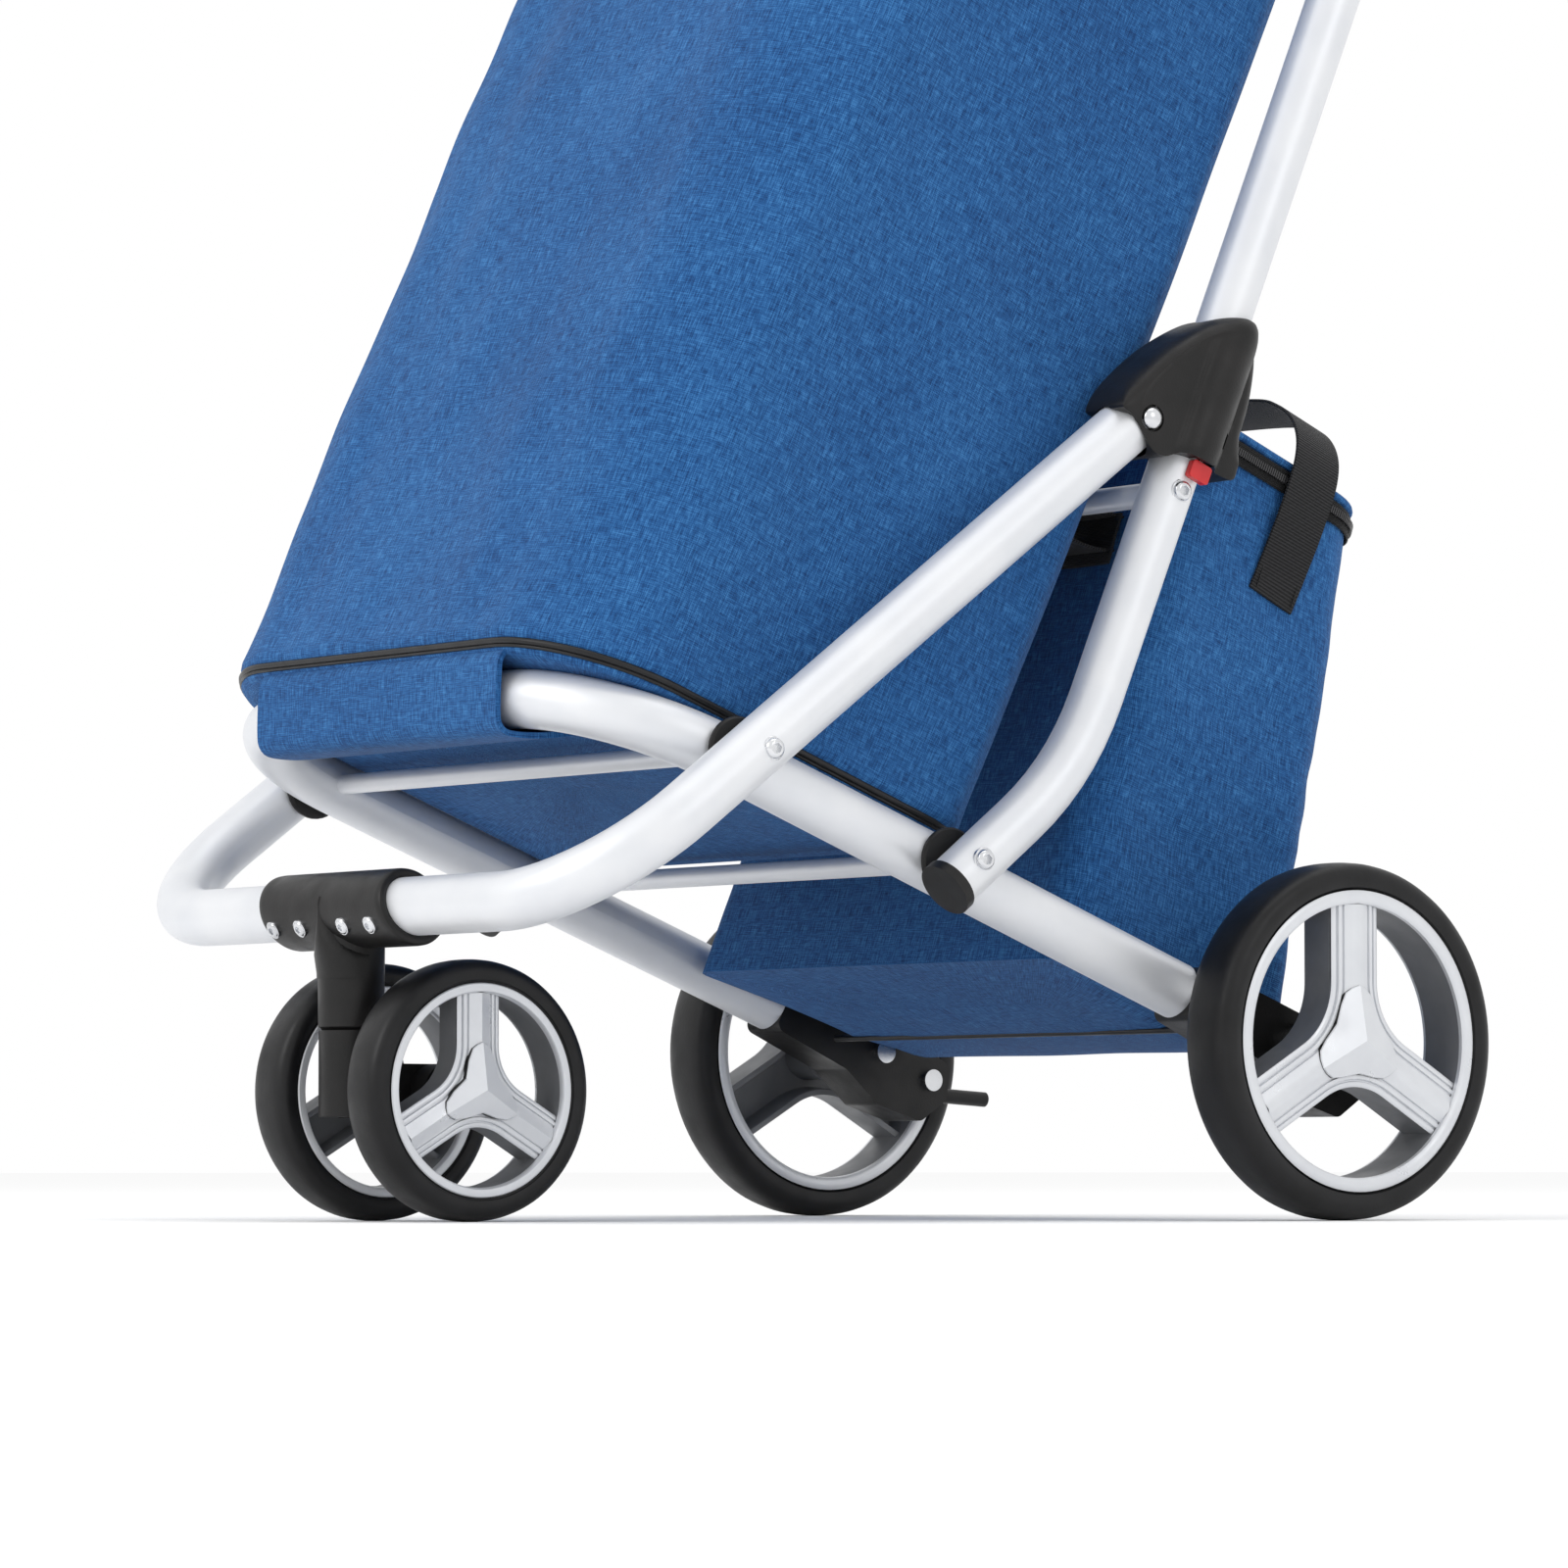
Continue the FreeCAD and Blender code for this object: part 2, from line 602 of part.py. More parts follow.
def runner_housing():
    """The fin-shaped slider: bored for the handle leg, pocketed for the front frame."""
    body = fillet_along_x(prism(RUNNER_OUTLINE, *RUNNER_X), 3.0)
    _, corner, top = handle_points()
    side = X_AXIS * HANDLE_HALF_WIDTH
    body = body.cut(rod(corner + side, top + side, HANDLE_TUBE_R + RUN_GAP))
    pivot = in_plane(RUNNER_PIVOT)
    half_angle = math.radians(13.0)
    reach = 70.0
    inner = FRONT_HALF_WIDTH - FRAME_TUBE_R - 0.6
    outer = FRONT_HALF_WIDTH + FRAME_TUBE_R + 0.6
    normal = Vector(0, -FRONT_DIR.z, FRONT_DIR.y)
    start = pivot + FRONT_DIR * (FRONT_END_PAST_PIVOT + 2.5)
    spread = FRAME_TUBE_R + 0.8
    far = pivot - FRONT_DIR * reach
    swing = reach * math.tan(half_angle)
    corners = [start + normal * (spread + 2.0), start - normal * spread,
               far - normal * (spread + swing), far + normal * spread]
    pocket = prism([(c.y, c.z) for c in corners], inner, outer)
    body = body.cut(pocket)
    body = body.cut(x_rod(pivot, 150, 230, RIVET_R))
    return body.cut(button_block(0.4, BUTTON_TRAVEL + 6.0))


def runner_rivets():
    pivot = in_plane(RUNNER_PIVOT)
    pin = x_rod(pivot, RUNNER_X[0] - 1.5, RUNNER_X[1], RIVET_R)
    head = Part.makeSphere(6.0, pivot + X_AXIS * (RUNNER_X[1] - 3.5))
    head = head.common(x_rod(pivot, RUNNER_X[1], RUNNER_X[1] + 4.0, 7.0))
    return on_both_sides(pin.fuse(head))


def button_spring():
    """The short return spring above the button."""
    top = button_centre() + HANDLE_DIR * (BUTTON_HEIGHT * 0.5 + BUTTON_TRAVEL + 5.8)
    middle = X_AXIS * (BUTTON_X[0] + BUTTON_X[1]) * 0.5
    foot = top - HANDLE_DIR * (BUTTON_TRAVEL + 5.2)
    return rod(foot + middle, top + middle, 1.4)


# ---- main bag -----------------------------------------------------------------------
def bag_rear(along):
    """A point of the bag's rear face, measured up from its base."""
    return on_base(BAG_BASE_REAR_S, BAG_ABOVE_BASE) + BAG_DIR * along


def bag_block(inset, start, length):
    """The bag's rounded outline, square to its axis, carried along the axis."""
    half = X_AXIS * (BAG_HALF_WIDTH - inset)
    back = bag_rear(start) - BAG_BACK * inset
    front = bag_rear(start) - BAG_BACK * (BAG_DEPTH - inset)
    points = [back - half, front - half, front + half, back + half]
    block = Part.Face(Part.makePolygon(points + points[:1])).extrude(BAG_DIR * length)
    upright = [e for e in block.Edges if is_along(e, BAG_DIR)]
    middle_y = block.BoundBox.Center.y
    front_edges = [e for e in upright if e.CenterOfMass.y < middle_y]
    block = block.makeFillet(BAG_FRONT_CORNER_R - inset, front_edges)
    rear_edges = [e for e in block.Edges if is_along(e, BAG_DIR) and on_rear_corner(e, half.x)]
    return block.makeFillet(BAG_REAR_CORNER_R - inset, rear_edges)


def on_rear_corner(edge, half_width):
    """True for the two sharp edges where the bag's sides meet its rear face."""
    offset = (edge.CenterOfMass - bag_rear(0.0)).dot(BAG_BACK)
    return offset > -BAG_REAR_CORNER_R and abs(edge.CenterOfMass.x) > half_width - 1.0


def bag_column(inset):
    """The bag's block cut off by its sloping base plane."""
    low = 120.0
    block = bag_block(inset, -low, low + BAG_LENGTH + inset)
    below = slab(on_base(-300.0, BAG_ABOVE_BASE + inset - 400.0),
                 on_base(900.0, BAG_ABOVE_BASE + inset), -400, 400)
    return block.cut(below)


def main_bag():
    """The fabric shell, open at its top."""
    return bag_column(0.0).cut(bag_column(BAG_WALL))


def bag_lid():
    """The flat padded lid, which turns about the rear top edge."""
    return bag_block(0.5, BAG_LENGTH + LID_GAP, LID_THICKNESS)


def bag_hanger_straps():
    """The two loops that hang the bag's back panel from the handle legs."""
    height = 630.0
    leg = on_handle(height) + X_AXIS * HANDLE_HALF_WIDTH
    outer_r = HANDLE_TUBE_R + 0.2 + WEBBING_T
    half = HANDLE_DIR * WEBBING_W * 0.5
    loop = rod(leg - half, leg + half, outer_r)
    loop = loop.cut(rod(leg - half * 2, leg + half * 2, HANDLE_TUBE_R + 0.2))
    tongue = Part.makeBox(20.5, WEBBING_T, WEBBING_W, Vector(0, 0, -WEBBING_W * 0.5))
    tongue.rotate(Vector(0, 0, 0), X_AXIS, -math.degrees(HANDLE_LEAN))
    start = on_handle(height) + X_AXIS * (BAG_HALF_WIDTH + 0.3) - HANDLE_BACK * 4.0
    tongue.translate(start)
    tongue = tongue.cut(rod(leg - half * 2, leg + half * 2, HANDLE_TUBE_R + 0.2))
    return on_both_sides(loop.fuse(tongue))


# ---- cooler bag ---------------------------------------------------------------------
def cooler_profile(inset):
    """The cooler's side outline, with its walls moved inwards."""
    fy, fz = COOLER_FRONT_TOP
    ry, rz = COOLER_REAR_TOP
    points = [(fy + inset, fz),
              (COOLER_FRONT_FOOT[0] + inset * 1.2, COOLER_FRONT_FOOT[1] + inset * 0.7),
              (COOLER_MID_FOOT[0], COOLER_MID_FOOT[1] + inset),
              (COOLER_REAR_FOOT[0] - inset, COOLER_REAR_FOOT[1] + inset),
              (ry - inset, rz)]
    return points


def cooler_column(inset, lift):
    """The cooler's body, its four upright corners rounded, with its top lifted."""
    points = cooler_profile(inset)
    up = BAG_DIR * lift
    points[0] = (points[0][0] + up.y, points[0][1] + up.z)
    points[-1] = (points[-1][0] + up.y, points[-1][1] + up.z)
    half = COOLER_HALF_WIDTH - inset
    body = prism(points, -half, half)
    upright = [e for e in body.Edges if e.BoundBox.ZLength > 100.0]
    return body.makeFillet(COOLER_CORNER_R - inset, upright)


def cooler_bag():
    """The insulated shell, open at its top."""
    return cooler_column(0.0, 0.0).cut(cooler_column(COOLER_WALL, 4.0))


def cooler_top_slice(low, high, grow):
    """A layer square to the cooler's top, between two heights above its rim."""
    fy, fz = COOLER_FRONT_TOP
    ry, rz = COOLER_REAR_TOP
    slope = Vector(0, ry - fy, rz - fz).normalize()
    up = Vector(0, -slope.z, slope.y)
    front = in_plane(COOLER_FRONT_TOP) - slope * grow
    rear = in_plane(COOLER_REAR_TOP) + slope * grow
    corners = [front + up * low, rear + up * low, rear + up * high, front + up * high]
    half = COOLER_HALF_WIDTH + grow
    layer = prism([(c.y, c.z) for c in corners], -half, half)
    edges = [e for e in layer.Edges if is_along(e, up)]
    return layer.makeFillet(COOLER_CORNER_R, edges)


def cooler_lid():
    return cooler_top_slice(LID_GAP, COOLER_LID_THICKNESS, 0.0)


def cooler_pocket():
    """The mesh pocket on the cooler's rear face."""
    half = COOLER_HALF_WIDTH - COOLER_CORNER_R - 2.0
    foot = in_plane(COOLER_REAR_FOOT)
    top = in_plane(COOLER_REAR_TOP)
    rise = (top - foot).normalize()
    out = Vector(0, rise.z, -rise.y)
    inner_foot = foot + rise * 30.0
    inner_mouth = foot + rise * 170.0
    outline = [inner_foot, inner_foot + out * POCKET_DEPTH, inner_mouth + out * POCKET_DEPTH * 0.6,
               inner_mouth]
    return prism([(p.y, p.z) for p in outline], -half, half)


def cooler_handle_strap():
    """The carrying loop: sewn low on both sides and arched over the lid."""
    low_y, low_z = 14.0, 316.0
    side = COOLER_HALF_WIDTH + 0.3
    up = Vector(0, 0.4, 0.9165)
    foot = Vector(side, low_y, low_z)
    shoulder = foot + up * 76.0
    crown = Vector(side - 46.0, shoulder.y + 15.0, shoulder.z + 26.0)
    run = Vector(WEBBING_T, 0, 0)
    inner = [foot, shoulder, crown]
    width_dir = Vector(0, 0.9165, -0.4) * WEBBING_W
    rise = up * WEBBING_T
    outer = [foot + run, shoulder + run + rise * 0.5, crown + rise]
    mirror = [Vector(-p.x, p.y, p.z) for p in reversed(outer)]
    back = [Vector(-p.x, p.y, p.z) for p in inner]
    outline = outer + mirror + back + list(reversed(inner))
    outline = [p - width_dir * 0.5 for p in outline]
    plane_points = [flatten(p, outline[0], up) for p in outline]
    face = Part.Face(Part.makePolygon(plane_points + plane_points[:1]))
    return face.extrude(width_dir)


def flatten(point, start, up):
    """The point moved into the plane through start that holds X and up."""
    normal = up.cross(X_AXIS).normalize()
    return point - normal * (point - start).dot(normal)


def cooler_hanger_straps():
    """Two hook-and-loop straps that hang the cooler from the handle crossbar."""
    straps = []
    bar = in_plane(CROSSBAR_AXIS)
    for x in (-95.0, 95.0):
        middle = bar + X_AXIS * x
        half = X_AXIS * WEBBING_W * 0.5
        loop = rod(middle - half, middle + half, HANDLE_CROSSBAR_R + 0.2 + WEBBING_T)
        front_y = COOLER_FRONT_TOP[0] - 19.0
        tongue = Part.makeBox(WEBBING_W, front_y + 2.0 - bar.y, WEBBING_T,
                              Vector(x - WEBBING_W * 0.5, bar.y, bar.z - 8.0))
        tongue = tongue.cut(cooler_column(-0.3, 0.0))
        hollow = rod(middle - half * 2, middle + half * 2, HANDLE_CROSSBAR_R + 0.2)
        straps.append(loop.fuse(tongue).cut(hollow))
    return Part.Compound(straps)


# ---- nodes --------------------------------------------------------------------------
def all_nodes():
    nodes = {
        "base_tube": base_tube(),
        "front_cross_rod": cross_rod(BASE_FRONT_PIVOT),
        "rear_cross_rod": cross_rod(BASE_HANDLE_PIVOT),
        "pivot_spacers": pivot_spacers(),
        "bracket_bolts": bracket_bolts(),
        "bag_sleeve": bag_sleeve(),
        "bag_base_board": bag_base_board(),
        "front_tube": front_tube(),
        "front_pivot_bolts": front_pivot_bolts(),
        "caster_bracket": caster_bracket(),
        "caster_bracket_bolts": caster_bracket_bolts(),
        "caster_stem": caster_stem(),
        "caster_kingpin": caster_kingpin(),
        "caster_axle": caster_axle(),
        "handle_tube": handle_tube(),
        "handle_end_caps": handle_end_caps(),
        "handle_pivot_bolts": handle_pivot_bolts(),
        "handle_crossbar": handle_crossbar(),
        "crossbar_bolts": crossbar_bolts(),
        "handle_grip": handle_grip(),
        "runner_rivets": runner_rivets(),
        "main_bag": main_bag(),
        "bag_lid": bag_lid(),
        "bag_hanger_straps": bag_hanger_straps(),
        "cooler_bag": cooler_bag(),
        "cooler_lid": cooler_lid(),
        "cooler_pocket": cooler_pocket(),
        "cooler_handle_strap": cooler_handle_strap(),
        "cooler_hanger_straps": cooler_hanger_straps(),
    }
    sided = {
        "axle_bracket": axle_bracket(),
        "stub_axle": stub_axle(),
        "runner_housing": runner_housing(),
        "release_button": release_button(),
        "button_spring": button_spring(),
        **rear_wheel_pieces(),
        **front_wheel_pieces(),
    }
    for name, shape in sided.items():
        for side_name, side in SIDES:
            nodes[f"{name}_{side_name}"] = for_side(shape, side)
    return nodes


def main():
    os.makedirs("parts", exist_ok=True)
    for name, shape in all_nodes().items():
        placed = shape.copy()
        placed.translate(TO_ORIGIN)
        solids = placed.Solids
        if not placed.isValid() or not solids:
            print("NOT VALID:", name)
        placed.exportStep(f"parts/{name}.step")
        print(f"{name:26s} solids {len(solids)}  volume {placed.Volume / 1000.0:9.2f} cm3")
    print("shift along Y:", TO_ORIGIN.y)


main()
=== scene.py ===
import math

import bmesh
import bpy
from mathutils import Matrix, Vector, noise


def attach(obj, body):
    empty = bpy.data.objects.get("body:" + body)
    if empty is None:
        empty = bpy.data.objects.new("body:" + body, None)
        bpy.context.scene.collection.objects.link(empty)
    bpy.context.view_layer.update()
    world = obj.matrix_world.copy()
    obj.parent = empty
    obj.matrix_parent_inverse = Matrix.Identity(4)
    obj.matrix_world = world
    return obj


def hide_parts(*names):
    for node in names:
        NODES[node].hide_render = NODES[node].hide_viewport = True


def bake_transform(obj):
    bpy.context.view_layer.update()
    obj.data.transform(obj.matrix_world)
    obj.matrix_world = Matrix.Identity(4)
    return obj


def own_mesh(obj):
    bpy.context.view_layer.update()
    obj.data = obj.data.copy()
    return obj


# Folding shopping trolley: the looks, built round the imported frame.
# Points are written in millimetres with Y = 0 at the rear axle, as the frame's source has
# them, and place() turns them into metres in the frame's own axes.

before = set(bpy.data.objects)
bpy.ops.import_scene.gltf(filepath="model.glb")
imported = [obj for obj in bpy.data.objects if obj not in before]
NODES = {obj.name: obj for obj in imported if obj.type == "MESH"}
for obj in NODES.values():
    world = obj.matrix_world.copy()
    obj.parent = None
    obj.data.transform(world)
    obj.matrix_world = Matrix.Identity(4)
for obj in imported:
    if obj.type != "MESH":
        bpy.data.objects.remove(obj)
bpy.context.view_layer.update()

SHIFT_Y = 126.0585


def place(p):
    return (p[0] * 0.001, (p[1] + SHIFT_Y) * 0.001, p[2] * 0.001)


# ---- dimensions shared with the frame ----------------------------------------------
AXLE_Z = 87.5
BASE_SLOPE = math.atan(0.3891)
BASE_DIR = Vector((0, -math.cos(BASE_SLOPE), math.sin(BASE_SLOPE)))
BASE_UP = Vector((0, math.sin(BASE_SLOPE), math.cos(BASE_SLOPE)))
FRONT_SLOPE = math.atan(0.7457)
FRONT_DIR = Vector((0, math.cos(FRONT_SLOPE), math.sin(FRONT_SLOPE)))
HANDLE_LEAN = math.atan(0.4283)
HANDLE_DIR = Vector((0, math.sin(HANDLE_LEAN), math.cos(HANDLE_LEAN)))
HANDLE_BACK = Vector((0, math.cos(HANDLE_LEAN), -math.sin(HANDLE_LEAN)))
BAG_LEAN = math.radians(25.4)
BAG_DIR = Vector((0, math.sin(BAG_LEAN), math.cos(BAG_LEAN)))
BAG_BACK = Vector((0, math.cos(BAG_LEAN), -math.sin(BAG_LEAN)))
BAG_HALF = 168.0
BAG_DEPTH = 245.0
BAG_LENGTH = 560.0
X_AXIS = Vector((1, 0, 0))
RUNNER_PIVOT = Vector((0, -115.0, 386.7))
FRONT_PIVOT = Vector((0, -338.6, 219.3))
HANDLE_PIVOT = Vector((0, -214.8, 171.1))
CROSSBAR = Vector((0, -94.0, 353.0))
FRONT_BAR = Vector((0, -434.0, 149.0))
LEG_X = 200.0
BUTTON_ALONG = 363.8
UP = Vector((0, 0, 1))
SIDES = (("left", -1.0), ("right", 1.0))


def on_base(s, above=0.0):
    return Vector((0, 0, AXLE_Z)) + BASE_DIR * s + BASE_UP * above


def on_handle(z):
    return Vector((0, -245.2 + z * math.tan(HANDLE_LEAN), z))


BAG_ORIGIN = on_base(213.0, 19.6)


# ---- materials ----------------------------------------------------------------------
class Shader:
    """A small builder for one material's nodes."""

    def __init__(self, name, base, roughness, metallic=0.0, specular=0.5, **extra):
        self.material = bpy.data.materials.new(name)
        self.material.use_nodes = True
        self.tree = self.material.node_tree
        self.bsdf = self.tree.nodes["Principled BSDF"]
        self.set("Base Color", (*base, 1.0))
        self.set("Roughness", roughness)
        self.set("Metallic", metallic)
        self.set("Specular IOR Level", specular)
        for key, value in extra.items():
            self.set(key.replace("_", " ").title(), value)

    def set(self, socket, value):
        self.bsdf.inputs[socket].default_value = value

    def node(self, kind, **values):
        node = self.tree.nodes.new(kind)
        for key, value in values.items():
            if hasattr(node, key):
                setattr(node, key, value)
            else:
                node.inputs[key.replace("_", " ")].default_value = value
        return node

    def link(self, out, into):
        self.tree.links.new(out, into)

    def coords(self, scale, source="Object", turn=(0, 0, 0)):
        texture = self.node("ShaderNodeTexCoord")
        mapping = self.node("ShaderNodeMapping")
        mapping.inputs["Scale"].default_value = scale
        mapping.inputs["Rotation"].default_value = turn
        self.link(texture.outputs[source], mapping.inputs["Vector"])
        return mapping.outputs["Vector"]

    def noise(self, vector, scale, detail=2.0, rough=0.5):
        node = self.node("ShaderNodeTexNoise", Scale=scale, Detail=detail, Roughness=rough)
        self.link(vector, node.inputs["Vector"])
        return node.outputs["Fac"]

    def ramp(self, fac, stops):
        node = self.node("ShaderNodeValToRGB")
        self.link(fac, node.inputs["Fac"])
        band = node.color_ramp
        while len(band.elements) < len(stops):
            band.elements.new(0.5)
        for element, (position, colour) in zip(band.elements, stops):
            element.position = position
            element.color = (*colour, 1.0)
        return node.outputs["Color"]

    def grey(self, fac, low, high, start=0.3, end=0.7):
        return self.ramp(fac, [(start, (low,) * 3), (end, (high,) * 3)])

    def mix(self, fac, a, b, mode="MIX"):
        node = self.node("ShaderNodeMix", data_type="RGBA", blend_type=mode)
        for value, index in ((fac, 0), (a, 6), (b, 7)):
            if hasattr(value, "is_output"):
                self.link(value, node.inputs[index])
            else:
                node.inputs[index].default_value = value
        return node.outputs[2]

    def math(self, operation, a, b=0.0):
        node = self.node("ShaderNodeMath", operation=operation)
        for value, index in ((a, 0), (b, 1)):
            if hasattr(value, "is_output"):
                self.link(value, node.inputs[index])
            else:
                node.inputs[index].default_value = value
        return node.outputs[0]

    def bump(self, height, strength, distance):
        node = self.node("ShaderNodeBump", Strength=strength, Distance=distance)
        self.link(height, node.inputs["Height"])
        self.link(node.outputs["Normal"], self.bsdf.inputs["Normal"])

    def colour(self, out):
        self.link(out, self.bsdf.inputs["Base Color"])

    def roughness(self, out):
        self.link(out, self.bsdf.inputs["Roughness"])


def moulded(name, low, high, rough, grain=900.0, strength=0.25, **extra):
    """Moulded plastic or rubber: faint mottling, fine grain, slightly uneven gloss."""
    shader = Shader(name, low, rough, **extra)
    where = shader.coords((1, 1, 1))
    shader.colour(shader.ramp(shader.noise(where, 45.0, 4.0), [(0.3, low), (0.75, high)]))
    shader.roughness(shader.grey(shader.noise(where, 70.0, 3.0), rough - 0.07, rough + 0.09))
    if strength:
        shader.bump(shader.noise(where, grain, 2.0), strength, 0.0002)
    return shader.material


def metal(name, low, high, rough, metallic, streak=(1, 1, 1)):
    """Satin metal: faint drawn streaks and smudges in its gloss."""
    shader = Shader(name, high, rough, metallic=metallic)
    where = shader.coords(streak)
    smudge = shader.noise(where, 30.0, 3.0)
    fine = shader.noise(where, 420.0, 2.0)
    shader.colour(shader.ramp(smudge, [(0.3, low), (0.7, high)]))
    shader.roughness(shader.grey(shader.mix(0.4, smudge, fine), rough - 0.05, rough + 0.07))
    shader.bump(fine, 0.06, 0.0001)
    return shader.material


WAVE_UNIT = math.pi / 10.0  # a wave texture's period in metres, times its scale


def heathered(name, shades, pitch=0.00095, source="UV"):
    """Plain weave in uneven yarn: crossing threads, slubs and streaks along the weft."""
    shader = Shader(name, shades[1], 0.82, specular=0.15)
    shader.set("Sheen Weight", 0.05)
    shader.set("Sheen Roughness", 0.5)
    flat = shader.coords((1, 1, 1), source)
    weft = shader.noise(shader.coords((170.0, 1500.0, 1.0), source), 1.0, 2.0, 0.6)
    slub = shader.noise(shader.coords((70.0, 700.0, 1.0), source), 1.0, 3.0, 0.6)
    warp = shader.noise(shader.coords((1300.0, 120.0, 1.0), source), 1.0, 2.0, 0.5)
    cloud = shader.noise(flat, 9.0, 3.0)
    yarn = shader.mix(0.4, weft, slub)
    yarn = shader.mix(0.46, yarn, warp)
    yarn = shader.mix(0.12, yarn, cloud)
    threads = []
    for direction in ("X", "Y"):
        wave = shader.node("ShaderNodeTexWave", wave_type="BANDS", bands_direction=direction,
                           Scale=WAVE_UNIT / pitch, Distortion=0.8, Detail=1.0)
        wave.inputs["Detail Scale"].default_value = 2.0
        shader.link(flat, wave.inputs["Vector"])
        threads.append(wave.outputs["Fac"])
    cloth = shader.ramp(yarn, [(0.38, shades[0]), (0.5, shades[1]), (0.61, shades[2])])
    crossing = shader.grey(shader.math("ADD", *threads), 0.72, 1.14, 0.2, 1.4)
    shader.colour(shader.mix(1.0, cloth, crossing, "MULTIPLY"))
    shader.bump(shader.mix(0.4, shader.math("MAXIMUM", *threads), weft), 0.6, 0.0003)
    return shader.material


def webbing_material(name, low, high, rib=0.0016):
    """Ribbed black webbing: ribs across its length, a herringbone of fine threads."""
    shader = Shader(name, low, 0.62, specular=0.2)
    shader.set("Sheen Weight", 0.05)
    flat = shader.coords((1, 1, 1), "UV")
    ribs = shader.node("ShaderNodeTexWave", bands_direction="Y", Scale=WAVE_UNIT / rib)
    threads = shader.node("ShaderNodeTexWave", bands_direction="DIAGONAL",
                          Scale=WAVE_UNIT / rib * 0.7)
    for wave in (ribs, threads):
        shader.link(flat, wave.inputs["Vector"])
    height = shader.mix(0.12, ribs.outputs["Fac"], threads.outputs["Fac"])
    shader.colour(shader.ramp(height, [(0.1, low), (0.9, high)]))
    shader.bump(height, 0.9, 0.0005)
    return shader.material


def mesh_cloth(name):
    """Black net: round holes in rows, showing the cloth behind them as painted shade."""
    shader = Shader(name, (0.01, 0.01, 0.012), 0.7, specular=0.3)
    cells = shader.node("ShaderNodeTexVoronoi", feature="F1", Scale=430.0)
    cells.inputs["Randomness"].default_value = 0.12
    shader.link(shader.coords((1, 1, 1), "UV"), cells.inputs["Vector"])
    hole = cells.outputs["Distance"]
    # The hole colour is painted shade of the cloth behind the net; the threads are the net's own
    # black.
    shader.colour(shader.ramp(hole, [(0.28, (0.002, 0.003, 0.006)), (0.42, (0.03, 0.03, 0.034))]))
    shader.bump(hole, 0.9, 0.0006)
    return shader.material


BLUE = [(0.006, 0.036, 0.125), (0.016, 0.088, 0.255), (0.042, 0.168, 0.40)]
TUBE = metal("tube_silver", (0.70, 0.715, 0.745), (0.76, 0.77, 0.79), 0.44, 0.45)
STEEL = metal("steel_bright", (0.55, 0.56, 0.58), (0.75, 0.76, 0.78), 0.2, 1.0)
RIM = moulded("rim_silver", (0.64, 0.655, 0.685), (0.70, 0.715, 0.74), 0.34, strength=0.0,
              metallic=0.4)
# Painted shade: a darker copy of the rim silver for the barrel floor, spoke backs, opening walls and
# hub, which lie in shade.
RIM_PAINTED_SHADE = moulded("rim_inner", (0.16, 0.165, 0.175), (0.21, 0.215, 0.225), 0.5, 900.0, 0.15,
                 metallic=0.3)
RUBBER = moulded("tyre_rubber", (0.005, 0.005, 0.0055), (0.011, 0.011, 0.012), 0.42, 600.0, 0.3,
                specular=0.28)
BLACK = moulded("plastic_black", (0.005, 0.005, 0.005), (0.011, 0.010, 0.010), 0.42, 1100.0, 0.45,
               specular=0.3)
RED = moulded("plastic_red", (0.42, 0.008, 0.012), (0.62, 0.02, 0.02), 0.3, 700.0, 0.12)
FOAM = moulded("grip_foam", (0.012, 0.012, 0.013), (0.035, 0.035, 0.036), 0.85, 420.0, 0.9)
BOARD = moulded("board_grey", (0.10, 0.10, 0.11), (0.16, 0.16, 0.17), 0.8, 300.0, 0.5)
FABRIC = heathered("fabric_blue", BLUE)
LINING = moulded("lining_grey", (0.16, 0.165, 0.18), (0.24, 0.245, 0.26), 0.7, 1500.0, 0.4)
CORDING = moulded("piping_black", (0.004, 0.004, 0.005), (0.012, 0.012, 0.013), 0.38, 900.0, 0.3,
                  specular=0.35)
COIL = moulded("zip_coil", (0.016, 0.016, 0.018), (0.035, 0.035, 0.038), 0.3, strength=0.0)
WEBBING = webbing_material("webbing_black", (0.003, 0.003, 0.0035), (0.024, 0.024, 0.026))
NET = mesh_cloth("net_black")
TAPE = webbing_material("zip_tape_black", (0.003, 0.003, 0.0035), (0.011, 0.011, 0.012), 0.0009)


